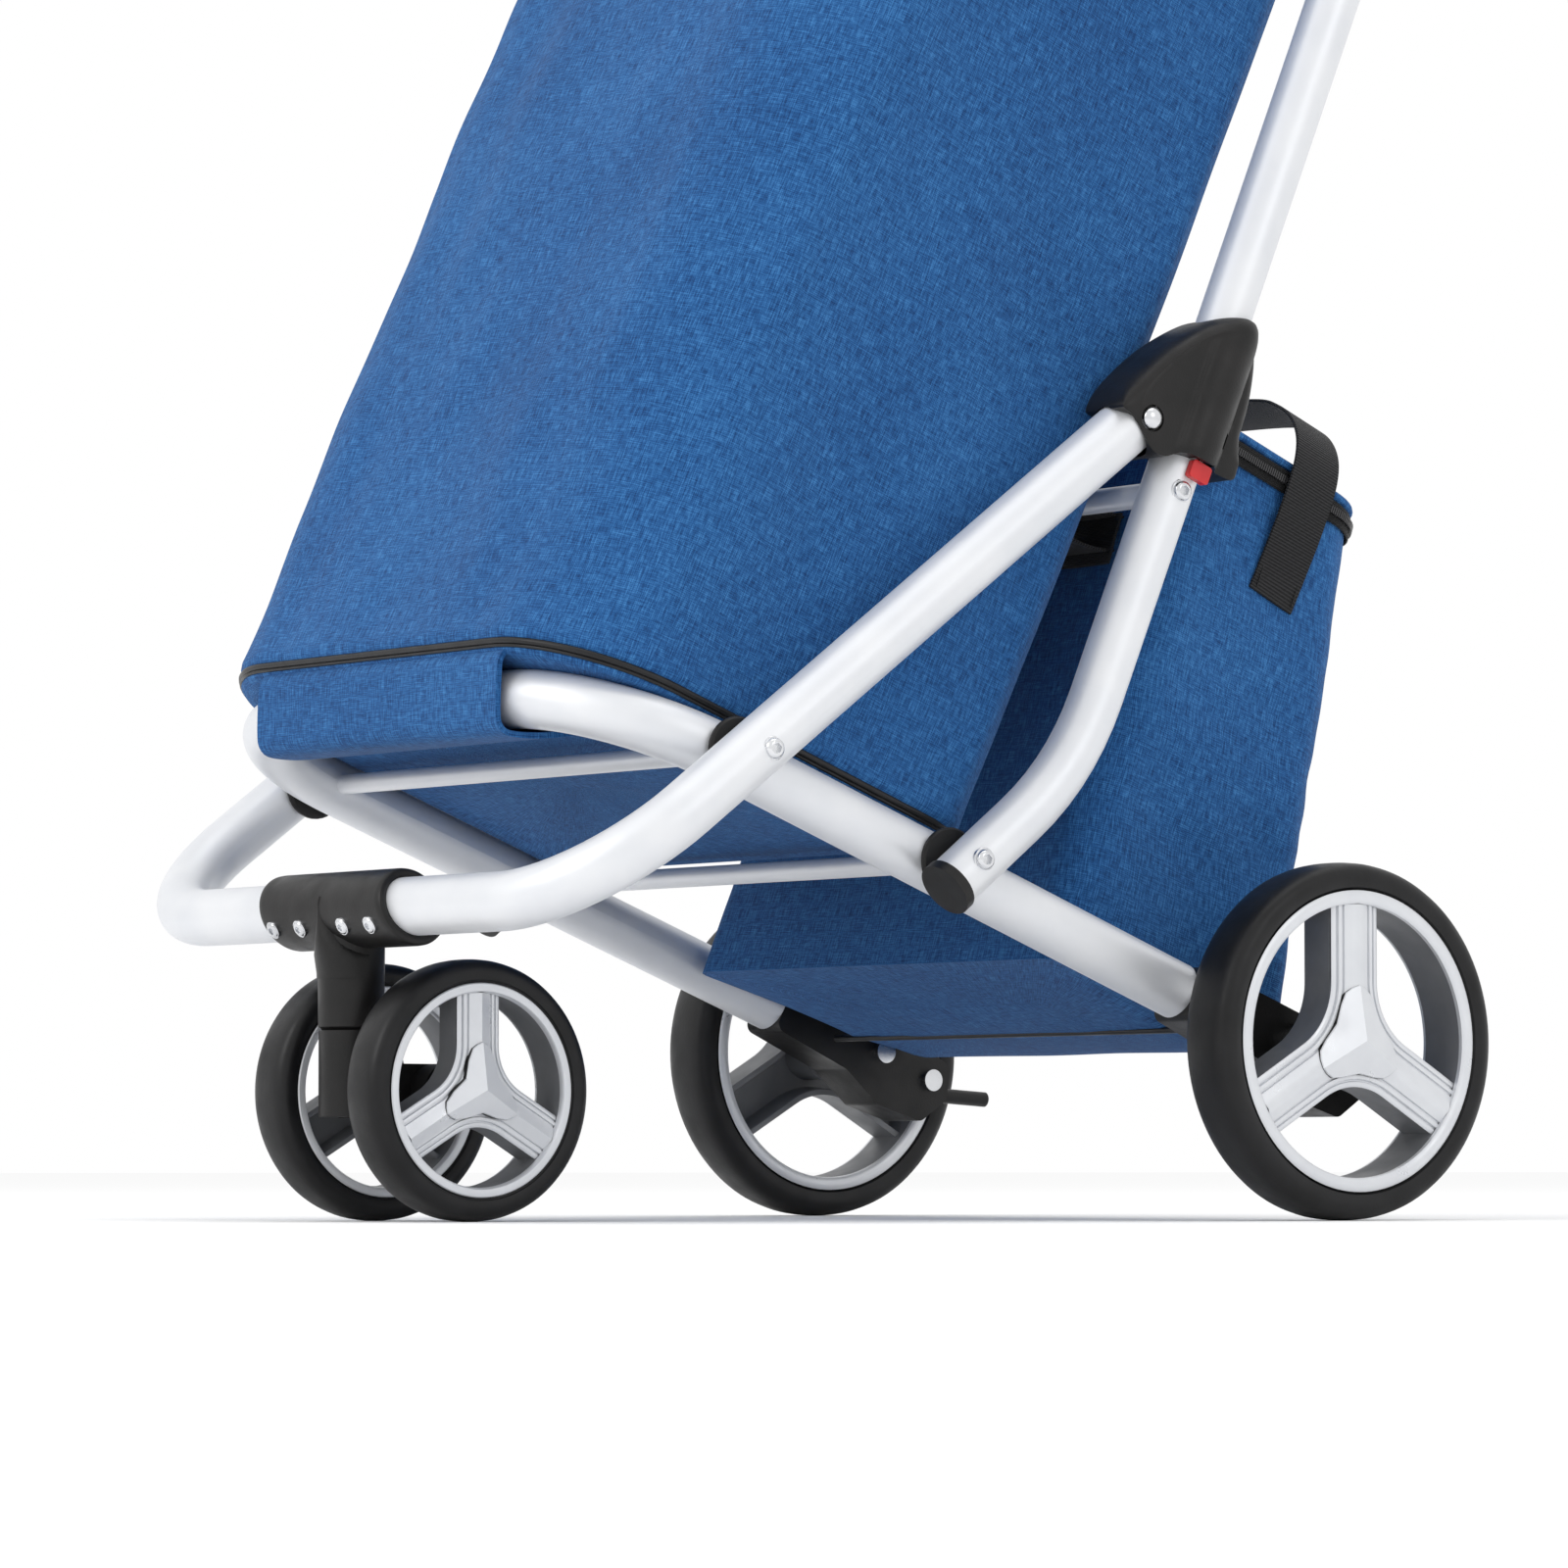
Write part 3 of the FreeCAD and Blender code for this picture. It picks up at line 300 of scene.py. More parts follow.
# ---- mesh helpers -------------------------------------------------------------------
class Net:
    """Points, faces, face-corner fabric coordinates (metres) and material numbers."""

    def __init__(self):
        self.points, self.faces, self.corners, self.numbers = [], [], [], []

    def face(self, indices, corners=None, number=0):
        self.faces.append(indices)
        self.corners.append(corners or [(0.0, 0.0)] * len(indices))
        self.numbers.append(number)

    def grid(self, rows, u=None, v=None, wrap=False, flip=False, number=0):
        """A sheet of quads. u runs along a row (one more entry if it wraps), v up the rows."""
        start, count = len(self.points), len(rows[0])
        u = u or lengths(rows[len(rows) // 2], wrap)
        v = v or lengths([row[0] for row in rows], False)
        for row in rows:
            self.points += [tuple(p) for p in row]
        for j in range(len(rows) - 1):
            for i in range(count if wrap else count - 1):
                k = (i + 1) % count
                quad = [start + j * count + i, start + j * count + k,
                        start + (j + 1) * count + k, start + (j + 1) * count + i]
                at = [(u[i], v[j]), (u[i + 1], v[j]), (u[i + 1], v[j + 1]), (u[i], v[j + 1])]
                if flip:
                    quad.reverse()
                    at.reverse()
                self.face(quad, at, number)
        return start

    def fan(self, ring, centre, flip=False, number=0):
        """Fills a ring of points with triangles to a centre point."""
        start = len(self.points)
        self.points += [tuple(p) for p in ring] + [tuple(centre)]
        hub = start + len(ring)
        for i in range(len(ring)):
            tri = [start + i, start + (i + 1) % len(ring), hub]
            if flip:
                tri.reverse()
            at = [tuple(self.points[t][axis] * 0.001 for axis in (0, 1)) for t in tri]
            self.face(tri, at, number)

    def block(self, centre, halves, axes, number=0):
        """A small box with its own axes, for teeth and stitches."""
        start = len(self.points)
        for sx in (-1, 1):
            for sy in (-1, 1):
                for sz in (-1, 1):
                    corner = centre + axes[0] * (halves[0] * sx)
                    corner += axes[1] * (halves[1] * sy) + axes[2] * (halves[2] * sz)
                    self.points.append(tuple(corner))
        for quad in ((0, 1, 3, 2), (4, 6, 7, 5), (0, 4, 5, 1), (2, 3, 7, 6), (0, 2, 6, 4),
                     (1, 5, 7, 3)):
            self.face([start + q for q in quad], None, number)


def lengths(points, closed):
    """Running length along points, in metres."""
    points = [Vector(p) for p in points]
    if closed:
        points.append(points[0])
    total, out = 0.0, [0.0]
    for a, b in zip(points, points[1:]):
        total += (b - a).length * 0.001
        out.append(total)
    return out


def make(name, net, materials, body, replaces=(), smooth=45.0, weld=0.02):
    """Turns a net into a piece that rides on a body."""
    mesh = bpy.data.meshes.new(name)
    mesh.from_pydata([place(p) for p in net.points], [], net.faces)
    layer = mesh.uv_layers.new(name="UVMap")
    for polygon, corners in zip(mesh.polygons, net.corners):
        for index, at in zip(polygon.loop_indices, corners):
            layer.data[index].uv = at
    for material in materials if isinstance(materials, (list, tuple)) else [materials]:
        mesh.materials.append(material)
    for polygon, number in zip(mesh.polygons, net.numbers):
        polygon.material_index = number
    work = bmesh.new()
    work.from_mesh(mesh)
    if weld:
        bmesh.ops.remove_doubles(work, verts=work.verts, dist=weld * 0.001)
    bmesh.ops.dissolve_degenerate(work, edges=work.edges, dist=1e-7)
    bmesh.ops.recalc_face_normals(work, faces=work.faces)
    work.to_mesh(mesh)
    work.free()
    mesh.polygons.foreach_set("use_smooth", [True] * len(mesh.polygons))
    if smooth:
        mesh.set_sharp_from_angle(angle=math.radians(smooth))
    piece = bpy.data.objects.new(name, mesh)
    bpy.context.scene.collection.objects.link(piece)
    if body:
        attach(piece, body)
    if replaces:
        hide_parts(*replaces)
    return piece


def dress(material, *names):
    """Gives CAD nodes that keep their own mesh a finished material."""
    for name in names:
        node = NODES[name]
        node.data.materials.clear()
        node.data.materials.append(material)


def smooth_path(points, count, closed=False):
    """An even, smooth run of points through the given ones (Catmull-Rom)."""
    points = [Vector(p) for p in points]
    total = len(points) if closed else len(points) - 1
    dense = []
    for i in range(total):
        if closed:
            a, b, c, d = (points[(i + k) % len(points)] for k in (-1, 0, 1, 2))
        else:
            a, b, c = points[max(i - 1, 0)], points[i], points[i + 1]
            d = points[min(i + 2, len(points) - 1)]
        for step in range(16):
            t = step / 16.0
            dense.append(0.5 * (2 * b + (c - a) * t + (2 * a - 5 * b + 4 * c - d) * t * t
                                + (3 * b - 3 * c + d - a) * t ** 3))
    if not closed:
        dense.append(points[-1])
    return resample(dense, count, closed)


def resample(points, count, closed=False):
    """The same line as evenly spaced points."""
    points = [Vector(p) for p in points]
    if closed:
        points.append(points[0])
    runs = [0.0]
    for a, b in zip(points, points[1:]):
        runs.append(runs[-1] + (b - a).length)
    out, k = [], 0
    steps = count if closed else count - 1
    for i in range(count):
        want = runs[-1] * i / steps
        while k < len(runs) - 2 and runs[k + 1] < want:
            k += 1
        span = max(runs[k + 1] - runs[k], 1e-9)
        out.append(points[k].lerp(points[k + 1], min(max((want - runs[k]) / span, 0), 1)))
    return out


def sweep(net, path, section, side=None, closed=False, caps=True, number=0):
    """Carries a closed (a, b) section along a path. side gives the direction of a."""
    path = [Vector(p) for p in path]
    rows = []
    last = Vector(side) if side is not None and not callable(side) else None
    for i, p in enumerate(path):
        before = path[i - 1] if i or closed else p
        after = path[(i + 1) % len(path)] if i < len(path) - 1 or closed else p
        along = (after - before).normalized()
        across = Vector(side(i)) if callable(side) else last
        if across is None:
            across = along.orthogonal()
        across = (across - along * across.dot(along)).normalized()
        if side is None:
            last = across
        up = along.cross(across)
        rows.append([p + across * (a) + up * (b) for a, b in section])
    if closed:
        rows.append(rows[0])
    start = net.grid(rows, wrap=True, number=number)
    if caps and not closed:
        n = len(section)
        net.face(list(range(start + n - 1, start - 1, -1)), None, number)
        end = start + (len(rows) - 1) * n
        net.face(list(range(end, end + n)), None, number)


def circle(radius, count=14):
    return [(radius * math.cos(math.tau * i / count), radius * math.sin(math.tau * i / count))
            for i in range(count)]


def strap_section(width, thick, crown=0.25):
    """A flat band with rounded edges and a slight crown."""
    w, t = width / 2.0, thick / 2.0
    top = [(-w, 0), (-w * 0.97, t * 0.8), (-w * 0.6, t * (1 + crown * 0.6)), (0, t * (1 + crown)),
           (w * 0.6, t * (1 + crown * 0.6)), (w * 0.97, t * 0.8), (w, 0)]
    return top + [(a, -t * 0.8) for a, _ in reversed(top[1:-1])]


def turned(net, profile, centre, segments=96, number=0, numbers=None):
    """A profile of (x, radius) points turned about the X axis through a centre."""
    rows = []
    for x, radius in profile:
        rows.append([(x, centre[1] + radius * math.cos(math.tau * i / segments),
                      centre[2] + radius * math.sin(math.tau * i / segments))
                     for i in range(segments)])
    first = len(net.faces)
    net.grid(rows, wrap=True, number=number)
    if numbers:
        for j in range(len(rows) - 1):
            for i in range(segments):
                net.numbers[first + j * segments + i] = numbers[j]


# ---- wheels -------------------------------------------------------------------------
def tyre_profile(x, width, outer, inner):
    """Across a tyre: sunk bead, sidewall, round shoulders, low crown."""
    half, tall = width / 2.0, outer - inner
    side = [(-half * 0.86, inner - 0.6), (-half * 0.90, inner + 0.7), (-half * 0.955, inner + 1.0),
            (-half * 0.985, inner + tall * 0.22), (-half, inner + tall * 0.40),
            (-half * 0.985, inner + tall * 0.55), (-half * 0.94, inner + tall * 0.70),
            (-half * 0.85, inner + tall * 0.83), (-half * 0.70, inner + tall * 0.92),
            (-half * 0.50, inner + tall * 0.972), (-half * 0.25, inner + tall * 0.995)]
    whole = side + [(0.0, outer)] + [(-a, b) for a, b in reversed(side)]
    return [(x + a, b) for a, b in whole]


def star_curve(angle, half, fillet, reach, inset, count):
    """One opening's edge between two spokes, moved into the spokes by inset."""
    turn = math.radians(60.0)
    far = (fillet + half) / math.sin(turn)
    radius = fillet + inset
    tangent = far * math.cos(turn)
    bisector = math.radians(angle)
    across = half - inset
    points = []
    run = math.sqrt(max(reach ** 2 - across ** 2, 0.0))
    straight = 7
    for k in range(straight):
        s = run + (tangent - run) * k / straight
        points.append((s, across, -1))
    for k in range(count + 1):
        points.append((math.pi * (7.0 - 2.0 * k / count) / 6.0, radius, 0))
    for k in range(1, straight + 1):
        s = tangent + (run - tangent) * k / straight
        points.append((s, across, 1))
    out = []
    for a, b, kind in points:
        if kind == 0:
            centre = Vector((far * math.cos(bisector), far * math.sin(bisector)))
            swing = bisector + a
            out.append(centre + Vector((math.cos(swing), math.sin(swing))) * b)
        else:
            spoke = bisector + kind * turn
            along = Vector((math.cos(spoke), math.sin(spoke)))
            toward = Vector((-along.y, along.x)) * (1 if kind < 0 else -1)
            out.append(along * a + toward * b)
    return out


def spoke_star(net, centre, face_x, back_x, side, half, fillet, reach, number, painted_shade_number):
    """Three ribbed spokes that flow into one another, hollow at the back."""
    outer_steps = [(0.0, -2.2), (0.0, -1.5), (0.05, -1.0), (0.12, -0.8), (0.17, -0.8),
                   (0.20, -1.7), (0.24, -1.7), (0.27, -0.35), (0.33, -0.1), (0.40, -0.1),
                   (0.43, -1.1), (0.485, -1.1), (0.51, -0.05), (0.55, 0.1), (0.75, 1.1),
                   (1.0, 2.3)]
    deep = abs(face_x - back_x)
    front_rows = [(d * half, face_x + side * h) for d, h in outer_steps]
    back = back_x
    back_rows = [(0.0, back), (0.13 * half, back - side * 0.2), (0.2 * half, back),
                 (0.24 * half, back + side * 1.0), (0.30 * half, face_x - side * deep * 0.35),
                 (1.0 * half, face_x - side * deep * 0.28)]
    # The spoke backs and the walls of the openings take the darker rim silver, painted shade.
    for opening in (30.0, 150.0, 270.0):
        for rows, shade in ((front_rows, number), (back_rows, painted_shade_number)):
            made = []
            for inset, x in rows:
                curve = star_curve(opening, half, fillet, reach, min(inset, half), 18)
                made.append([(x, centre[1] + p.x, centre[2] + p.y) for p in curve])
            net.grid(made, number=shade)
            lift = made[-1][0][0]
            hub = (lift, centre[1], centre[2])
            arc = made[-1][7:26]
            start = len(net.points)
            net.points += arc + [hub]
            for k in range(len(arc) - 1):
                net.face([start + k, start + k + 1, start + len(arc)], None, shade)
        wall = []
        for x, inset in ((face_x - side * 1.6, 0.0), (back, 0.0)):
            curve = star_curve(opening, half, fillet, reach, inset, 18)
            wall.append([(x, centre[1] + p.x, centre[2] + p.y) for p in curve])
        net.grid(wall, number=painted_shade_number)


def cap_outline(apex, corner, waist, spread):
    """The hub cap's outline as radii and angles: three arrow tips, hollow sides."""
    out = []
    for k in range(3):
        base = 90.0 + 120.0 * k
        out += [(base - spread, corner), (base - spread * 0.5, (corner + apex) * 0.5 + 0.15),
                (base, apex), (base + spread * 0.5, (corner + apex) * 0.5 + 0.15),
                (base + spread, corner)]
        for t in (0.15, 0.3, 0.5, 0.7, 0.85):
            angle = base + spread + (120.0 - 2 * spread) * t
            out.append((angle, waist + (corner - waist) * (abs(t - 0.5) * 2) ** 1.8))
    return out


def hub_cap(name, body, replaces, centre, x, side, apex, corner, waist, spread, tall):
    """A faceted cap: three broad facets that meet at a raised middle."""
    net = Net()
    outline = cap_outline(apex, corner, waist, spread)
    fall = (tall - 2.6) / (apex * 0.5)

    def level(angle, radius):
        """Height on the flat facet between two arms."""
        nearest = min((30.0, 150.0, 270.0, 390.0), key=lambda b: abs(b - angle % 360.0))
        return tall - fall * radius * math.cos(math.radians(angle - nearest))

    rows = []
    for shrink, drop in ((0.0, 4.6), (0.0, 0.5), (0.4, 0.0)):
        row = []
        for angle, radius in outline:
            a, r = math.radians(angle), radius - shrink
            height = level(angle, r) - drop
            row.append((x + side * height, centre[1] + r * math.cos(a), centre[2] + r * math.sin(a)))
        rows.append(row)
    # The cap's side wall takes the black plastic as painted shade, drawing the dark seam round the
    # cap.
    net.grid(rows[:2], wrap=True, number=1)
    net.grid(rows[1:], wrap=True)
    net.fan(rows[-1], (x + side * tall, centre[1], centre[2]))
    return make(name, net, [RIM, BLACK], body, replaces, smooth=14.0)


def wheel(prefix, side_name, side, centre, x, width, outer, rim_outer, rim_inner, sizes):
    """One wheel's tyre, rim with spokes, and hub cap. side is +1 for a face toward +X."""
    body = f"{prefix}_wheel_{side_name}"
    half = width / 2.0
    tyre = Net()
    turned(tyre, tyre_profile(x, width, outer, rim_outer), centre, 128)
    make(f"{prefix}_tyre_visual_{side_name}", tyre, RUBBER, body,
         [f"{prefix}_tyre_{side_name}"])
    rim = Net()
    ring = rim_outer - rim_inner
    w = half - 1.2
    profile = [(-w, rim_outer - 0.4), (-w - 0.6, rim_outer - ring * 0.18),
               (-w - 0.75, rim_outer - ring * 0.5), (-w - 0.45, rim_inner + ring * 0.14),
               (-w + 0.5, rim_inner), (-w + 2.4, rim_inner - 0.25), (0.0, rim_inner - 0.9),
               (w - 2.4, rim_inner - 0.25), (w - 0.5, rim_inner), (w + 0.45, rim_inner + ring * 0.14),
               (w + 0.75, rim_outer - ring * 0.5), (w + 0.6, rim_outer - ring * 0.18),
               (w, rim_outer - 0.4)]
    # The barrel floor and the hub behind the cap take the darker rim silver, painted shade.
    turned(rim, [(x + a, b) for a, b in profile], centre, 128,
           numbers=[0, 0, 0, 0, 0, 1, 1, 0, 0, 0, 0, 0])
    arm, fillet, apex, corner, waist, spread, tall = sizes
    face = x + side * (half - 3.4)
    back = x - side * (half - 7.0)
    spoke_star(rim, centre, face, back, side, arm, fillet, rim_inner - 0.2, 0, 1)
    hub = [(face - side * 3.0, arm), (x - side * (half - 5.0), arm * 0.95),
           (x - side * (half - 4.2), arm * 0.7), (x - side * (half - 4.6), arm * 0.42),
           (x - side * (half - 8.0), arm * 0.40)]
    turned(rim, hub, centre, 48, number=1)
    make(f"{prefix}_rim_visual_{side_name}", rim, [RIM, RIM_PAINTED_SHADE], body,
         [f"{prefix}_rim_{side_name}"], smooth=38.0)
    hub_cap(f"{prefix}_cap_visual_{side_name}", body, [f"{prefix}_hub_cap_{side_name}"],
            centre, face + side * 0.6, side, apex, corner, waist, spread, tall)


REAR_AXLE = Vector((0, 0, AXLE_Z))
CASTER_AXLE = Vector((0, -394.0, 62.5))
for side_name, side in SIDES:
    wheel("rear", side_name, side, REAR_AXLE, 218.0 * side, 32.0, 87.5, 74.0, 67.0,
          (14.6, 36.0, 27.2, 24.6, 16.2, 18.0, 7.6))
    wheel("front", side_name, side, CASTER_AXLE, 41.5 * side, 27.0, 62.5, 51.5, 46.5,
          (11.9, 25.0, 23.0, 20.4, 10.9, 14.0, 6.6))


# ---- main bag -----------------------------------------------------------------------
def rounded(half, depth, r_front, r_rear, step=5.0):
    """A closed outline as (x, d, normal x, normal d, run), from the middle of the rear."""
    out = []

    def line(x0, d0, x1, d1, nx, nd):
        count = max(int(math.hypot(x1 - x0, d1 - d0) / step), 1)
        for i in range(count):
            t = i / count
            out.append((x0 + (x1 - x0) * t, d0 + (d1 - d0) * t, nx, nd))

    def arc(cx, cd, radius, start, end):
        count = max(int(abs(end - start) * radius / step), 5)
        for i in range(count):
            a = start + (end - start) * i / count
            nx, nd = math.cos(a), math.sin(a)
            out.append((cx + radius * nx, cd + radius * nd, nx, nd))

    quarter = math.pi / 2
    line(0, 0, half - r_rear, 0, 0, -1)
    arc(half - r_rear, r_rear, r_rear, -quarter, 0)
    line(half, r_rear, half, depth - r_front, 1, 0)
    arc(half - r_front, depth - r_front, r_front, 0, quarter)
    line(half - r_front, depth, -half + r_front, depth, 0, 1)
    arc(-half + r_front, depth - r_front, r_front, quarter, math.pi)
    line(-half, depth - r_front, -half, r_rear, -1, 0)
    arc(-half + r_rear, r_rear, r_rear, math.pi, 1.5 * math.pi)
    line(-half + r_rear, 0, 0, 0, 0, -1)
    return out


def bag_point(x, d, a):
    p = BAG_ORIGIN + BAG_DIR * a - BAG_BACK * d
    return Vector((x, p.y, p.z))


BASE_TILT = BAG_BACK.dot(BASE_UP) / BAG_DIR.dot(BASE_UP)


def soft(x, y, z, scale, seed):
    return noise.noise(Vector((x / scale + seed, y / scale - seed, z / scale + 2.0 * seed)))


def bag_outset(x, d, nx, nd, height):
    """How far the cloth stands out from the bag's block at a height above its base."""
    up = min(height / BAG_LENGTH, 1.0)
    belly = math.sin(math.pi * min(up * 1.05, 1.0)) ** 0.8
    flat = max(abs(nx), abs(nd)) ** 6
    across = math.cos(math.pi * 0.5 * min(abs(x) / BAG_HALF, 1.0)) if nd > 0.5 else 1.0
    out = 1.5
    if nd > 0.3:
        out += belly * (3.0 + 3.5 * across) * nd
    if abs(nx) > 0.3:
        out += belly * 3.2 * abs(nx)
    if nd < -0.3:
        out += belly * 1.5
    foot = math.exp(-height / 16.0)
    out += 3.0 * foot * (0.6 + 0.4 * flat)
    ramp = min(height / 40.0, 1.0)
    fold = soft(x, d, height * 0.33, 62.0, 3.1) * 4.2 + soft(x, d, height * 0.5, 30.0, 8.3) * 1.5
    sag = soft(x * 0.35, d * 0.35, height, 48.0, 5.7) * 1.8 * up
    pucker = soft(x, d, height * 0.25, 11.0, 1.9) * 0.55 * math.exp(-height / 45.0)
    if nd < 0.0 and abs(abs(nx) - 0.92) < 0.07:
        pucker += 1.3
    calm = 1.0 if nd > -0.3 else 0.3
    tucked = 4.0 * max(-nd, 0.0) * min(max((height - 535.0) / 15.0, 0.0), 1.0)
    return out + (fold + sag) * ramp * calm + pucker - tucked


def bag_rows(inset, heights):
    outline = rounded(BAG_HALF, BAG_DEPTH, 66.0, 22.0, 4.0)
    rows = []
    for height in heights:
        row = []
        for x, d, nx, nd in outline:
            low = BASE_TILT * d
            a = low + (BAG_LENGTH - low) * height / BAG_LENGTH
            if height < 6.0:
                tuck = 4.4 * (1.0 - height / 6.0) ** 2
            else:
                tuck = 0.0
            out = bag_outset(x, d, nx, nd, height) - tuck - inset
            row.append(bag_point(x + nx * out, d + nd * out, a))
        rows.append(row)
    return rows


def main_bag():
    heights = [0.0, 0.8, 2.0, 3.6, 6.0, 9.0, 13.0, 18.0]
    heights += [24.0 + 6.0 * k for k in range(89)]
    heights += [555.0, BAG_LENGTH]
    net = Net()
    outer = bag_rows(0.0, heights)
    net.grid(outer, wrap=True)
    inner_heights = [5.0, 20.0] + [40.0 + 20.0 * k for k in range(26)] + [BAG_LENGTH]
    inner = bag_rows(3.2, inner_heights)
    net.grid(inner, wrap=True, number=1, flip=True)
    net.grid([outer[-1], inner[-1]], wrap=True)
    net.grid([outer[0], inner[0]], wrap=True, number=1)
    floor = inner[0]
    middle = sum((Vector(p) for p in floor), Vector()) / len(floor)
    half_way = [Vector(p).lerp(middle, 0.5) for p in floor]
    net.grid([floor, half_way], wrap=True, number=1)
    net.fan(half_way, middle, number=1)
    bag = make("bag_cloth", net, [FABRIC, LINING], None, ["main_bag"], smooth=60)
    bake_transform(bag)


main_bag()


def base_outline(out, drop, step=4.0):
    """The bag's outline on its base plane, moved outwards and down square to the plane."""
    points = []
    for x, d, nx, nd in rounded(BAG_HALF, BAG_DEPTH, 66.0, 22.0, step):
        low = BASE_TILT * d
        p = bag_point(x + nx * out, d + nd * out, low)
        points.append(p - BASE_UP * drop)
    return points


def bag_underside():
    """The shallow padded tray below the piping."""
    net = Net()
    rows = [base_outline(-1.5, -0.5), base_outline(-0.4, 1.0), base_outline(-0.2, 3.6),
            base_outline(-2.4, 5.3), base_outline(-8.0, 5.5)]

    def free(p):
        """1 between the legs, falling to 0 over the base tube's front bar."""
        run = (p - on_base(0.0)).dot(BASE_DIR)
        return min(max((416.0 - run) / 14.0, 0.0), 1.0)

    for out, deeper in ((-12.0, 2.6), (-16.0, 5.0)):
        rows.append([p - BASE_UP * (deeper * free(p)) for p in base_outline(out, 5.5)])
    rim = base_outline(-16.0, 5.5)
    middle = sum(rim, Vector()) / len(rim)
    for t in (0.08, 0.18, 0.32, 0.5, 0.7, 0.88):
        ring = [p.lerp(middle, t) for p in rim]
        rows.append([p - BASE_UP * (free(p) * (5.0 + soft(p.x, p.y, 0, 55.0, 6.1) * 1.4))
                     for p in ring])
    net.grid(rows, wrap=True)
    net.fan(rows[-1], middle - BASE_UP * 5.0)
    make("bag_tray", net, FABRIC, "base_frame", ())
    piping = Net()
    sweep(piping, base_outline(0.6, 0.0), circle(1.7, 10), closed=True)
    sweep(piping, base_outline(0.2, 2.3), circle(0.9, 8), closed=True)
    make("bag_base_piping", piping, CORDING, "base_frame", ())


bag_underside()


def bag_sleeve():
    """The fabric loop that ties the bag's base round the front bar."""
    path = [(-412.0, 269.5), (-418.5, 268.0), (-422.8, 263.0), (-423.8, 255.0), (-424.2, 246.0),
            (-424.2, 238.0), (-423.6, 233.4), (-421.0, 229.8), (-416.5, 228.2), (-407.0, 227.6),
            (-397.0, 228.0), (-385.0, 229.4), (-368.0, 231.8), (-350.0, 234.2), (-338.0, 236.4)]
    x_low, x_high = -100.0, 112.0
    middle = smooth_path([(0, y, z) for y, z in path], 64)
    net = Net()
    columns = 140
    rows = {1.1: [], -1.1: []}
    for i, p in enumerate(middle):
        before, after = middle[max(i - 1, 0)], middle[min(i + 1, len(middle) - 1)]
        along = (after - before).normalized()
        out = Vector((0, along.z, -along.y)) * -1.0
        for thick, made in rows.items():
            row = []
            for k in range(columns + 1):
                x = x_low + (x_high - x_low) * k / columns
                swell = soft(x, i * 2.0, 0, 26.0, 4.4) * 0.7
                edge = min(x - x_low, x_high - x) / 3.0
                hem = 0.7 if edge < 0.9 else 0.0
                row.append(p + X_AXIS * x + out * (thick + (swell + hem) * (thick > 0)))
            made.append(row)
    net.grid(rows[1.1])
    net.grid(rows[-1.1], flip=True)
    for k in (0, columns):
        net.grid([[r[k] for r in rows[1.1]], [r[k] for r in rows[-1.1]]])
    net.grid([rows[1.1][0], rows[-1.1][0]])
    net.grid([rows[1.1][-1], rows[-1.1][-1]])
    sleeve = make("sleeve_cloth", net, FABRIC, "base_frame", ["bag_sleeve"],
                  smooth=50)
    lengths(middle, False)[-1]


bag_sleeve()


def bag_lid():
    """The padded lid with piping round its edge and a pull tab at the front."""
    net = Net()
    rows = []
    for out, a in ((-4.0, 0.8), (0.2, 1.2), (1.6, 3.0), (2.0, 5.5), (1.2, 8.4), (-2.0, 10.6),
                   (-12.0, 12.4), (-30.0, 14.0)):
        row = []
        for x, d, nx, nd in rounded(BAG_HALF, BAG_DEPTH, 66.0, 22.0, 5.0):
            lift = soft(x, d, a, 50.0, 6.6) * (1.2 if out < -5 else 0.3)
            stand = out - 3.2 * max(-nd, 0.0)
            row.append(bag_point(x + nx * stand, d + nd * stand, BAG_LENGTH + a + lift))
        rows.append(row)
    middle = bag_point(0, BAG_DEPTH / 2, BAG_LENGTH + 15.5)
    for t in (0.3, 0.6, 0.85):
        ring = [p.lerp(middle, t) for p in rows[7]]
        rows.append([p + BAG_DIR * soft(p.x, p.y, 0, 60.0, 2.2) * 2.0 for p in ring])
    net.grid(rows, wrap=True)
    net.fan(rows[-1], middle)
    net.fan(rows[0], bag_point(0, BAG_DEPTH / 2, BAG_LENGTH + 0.9))
    lid = make("bag_lid_cloth", net, FABRIC, "bag_lid_flap", ["bag_lid"], smooth=60)
    piping = Net()
    edge = []
    for x, d, nx, nd in rounded(BAG_HALF, BAG_DEPTH, 66.0, 22.0, 5.0):
        stand = 2.2 - 3.2 * max(-nd, 0.0)
        edge.append(bag_point(x + nx * stand, d + nd * stand, BAG_LENGTH + 2.4))
    sweep(piping, edge, circle(1.9, 10), closed=True)
    tab = smooth_path([bag_point(0, BAG_DEPTH - 18, BAG_LENGTH + 14.0),
                       bag_point(0, BAG_DEPTH + 3, BAG_LENGTH + 9.5),
                       bag_point(0, BAG_DEPTH + 5.4, BAG_LENGTH - 4.0),
                       bag_point(0, BAG_DEPTH + 5.6, BAG_LENGTH - 26.0)], 22)
    sweep(piping, tab, strap_section(24.0, 1.8), side=X_AXIS, number=1)
    make("bag_lid_piping", piping, [CORDING, WEBBING], "bag_lid_flap", ())


bag_lid()


# ---- cooler bag ---------------------------------------------------------------------
COOLER_HALF = 149.0
COOLER_R = 26.0
FRONT_TOP, FRONT_FOOT = Vector((0, -34.0, 400.0)), Vector((0, -127.0, 128.0))
REAR_TOP, REAR_FOOT = Vector((0, 79.0, 352.0)), Vector((0, 22.0, 84.0))
MID_FOOT = Vector((0, -38.0, 95.0))


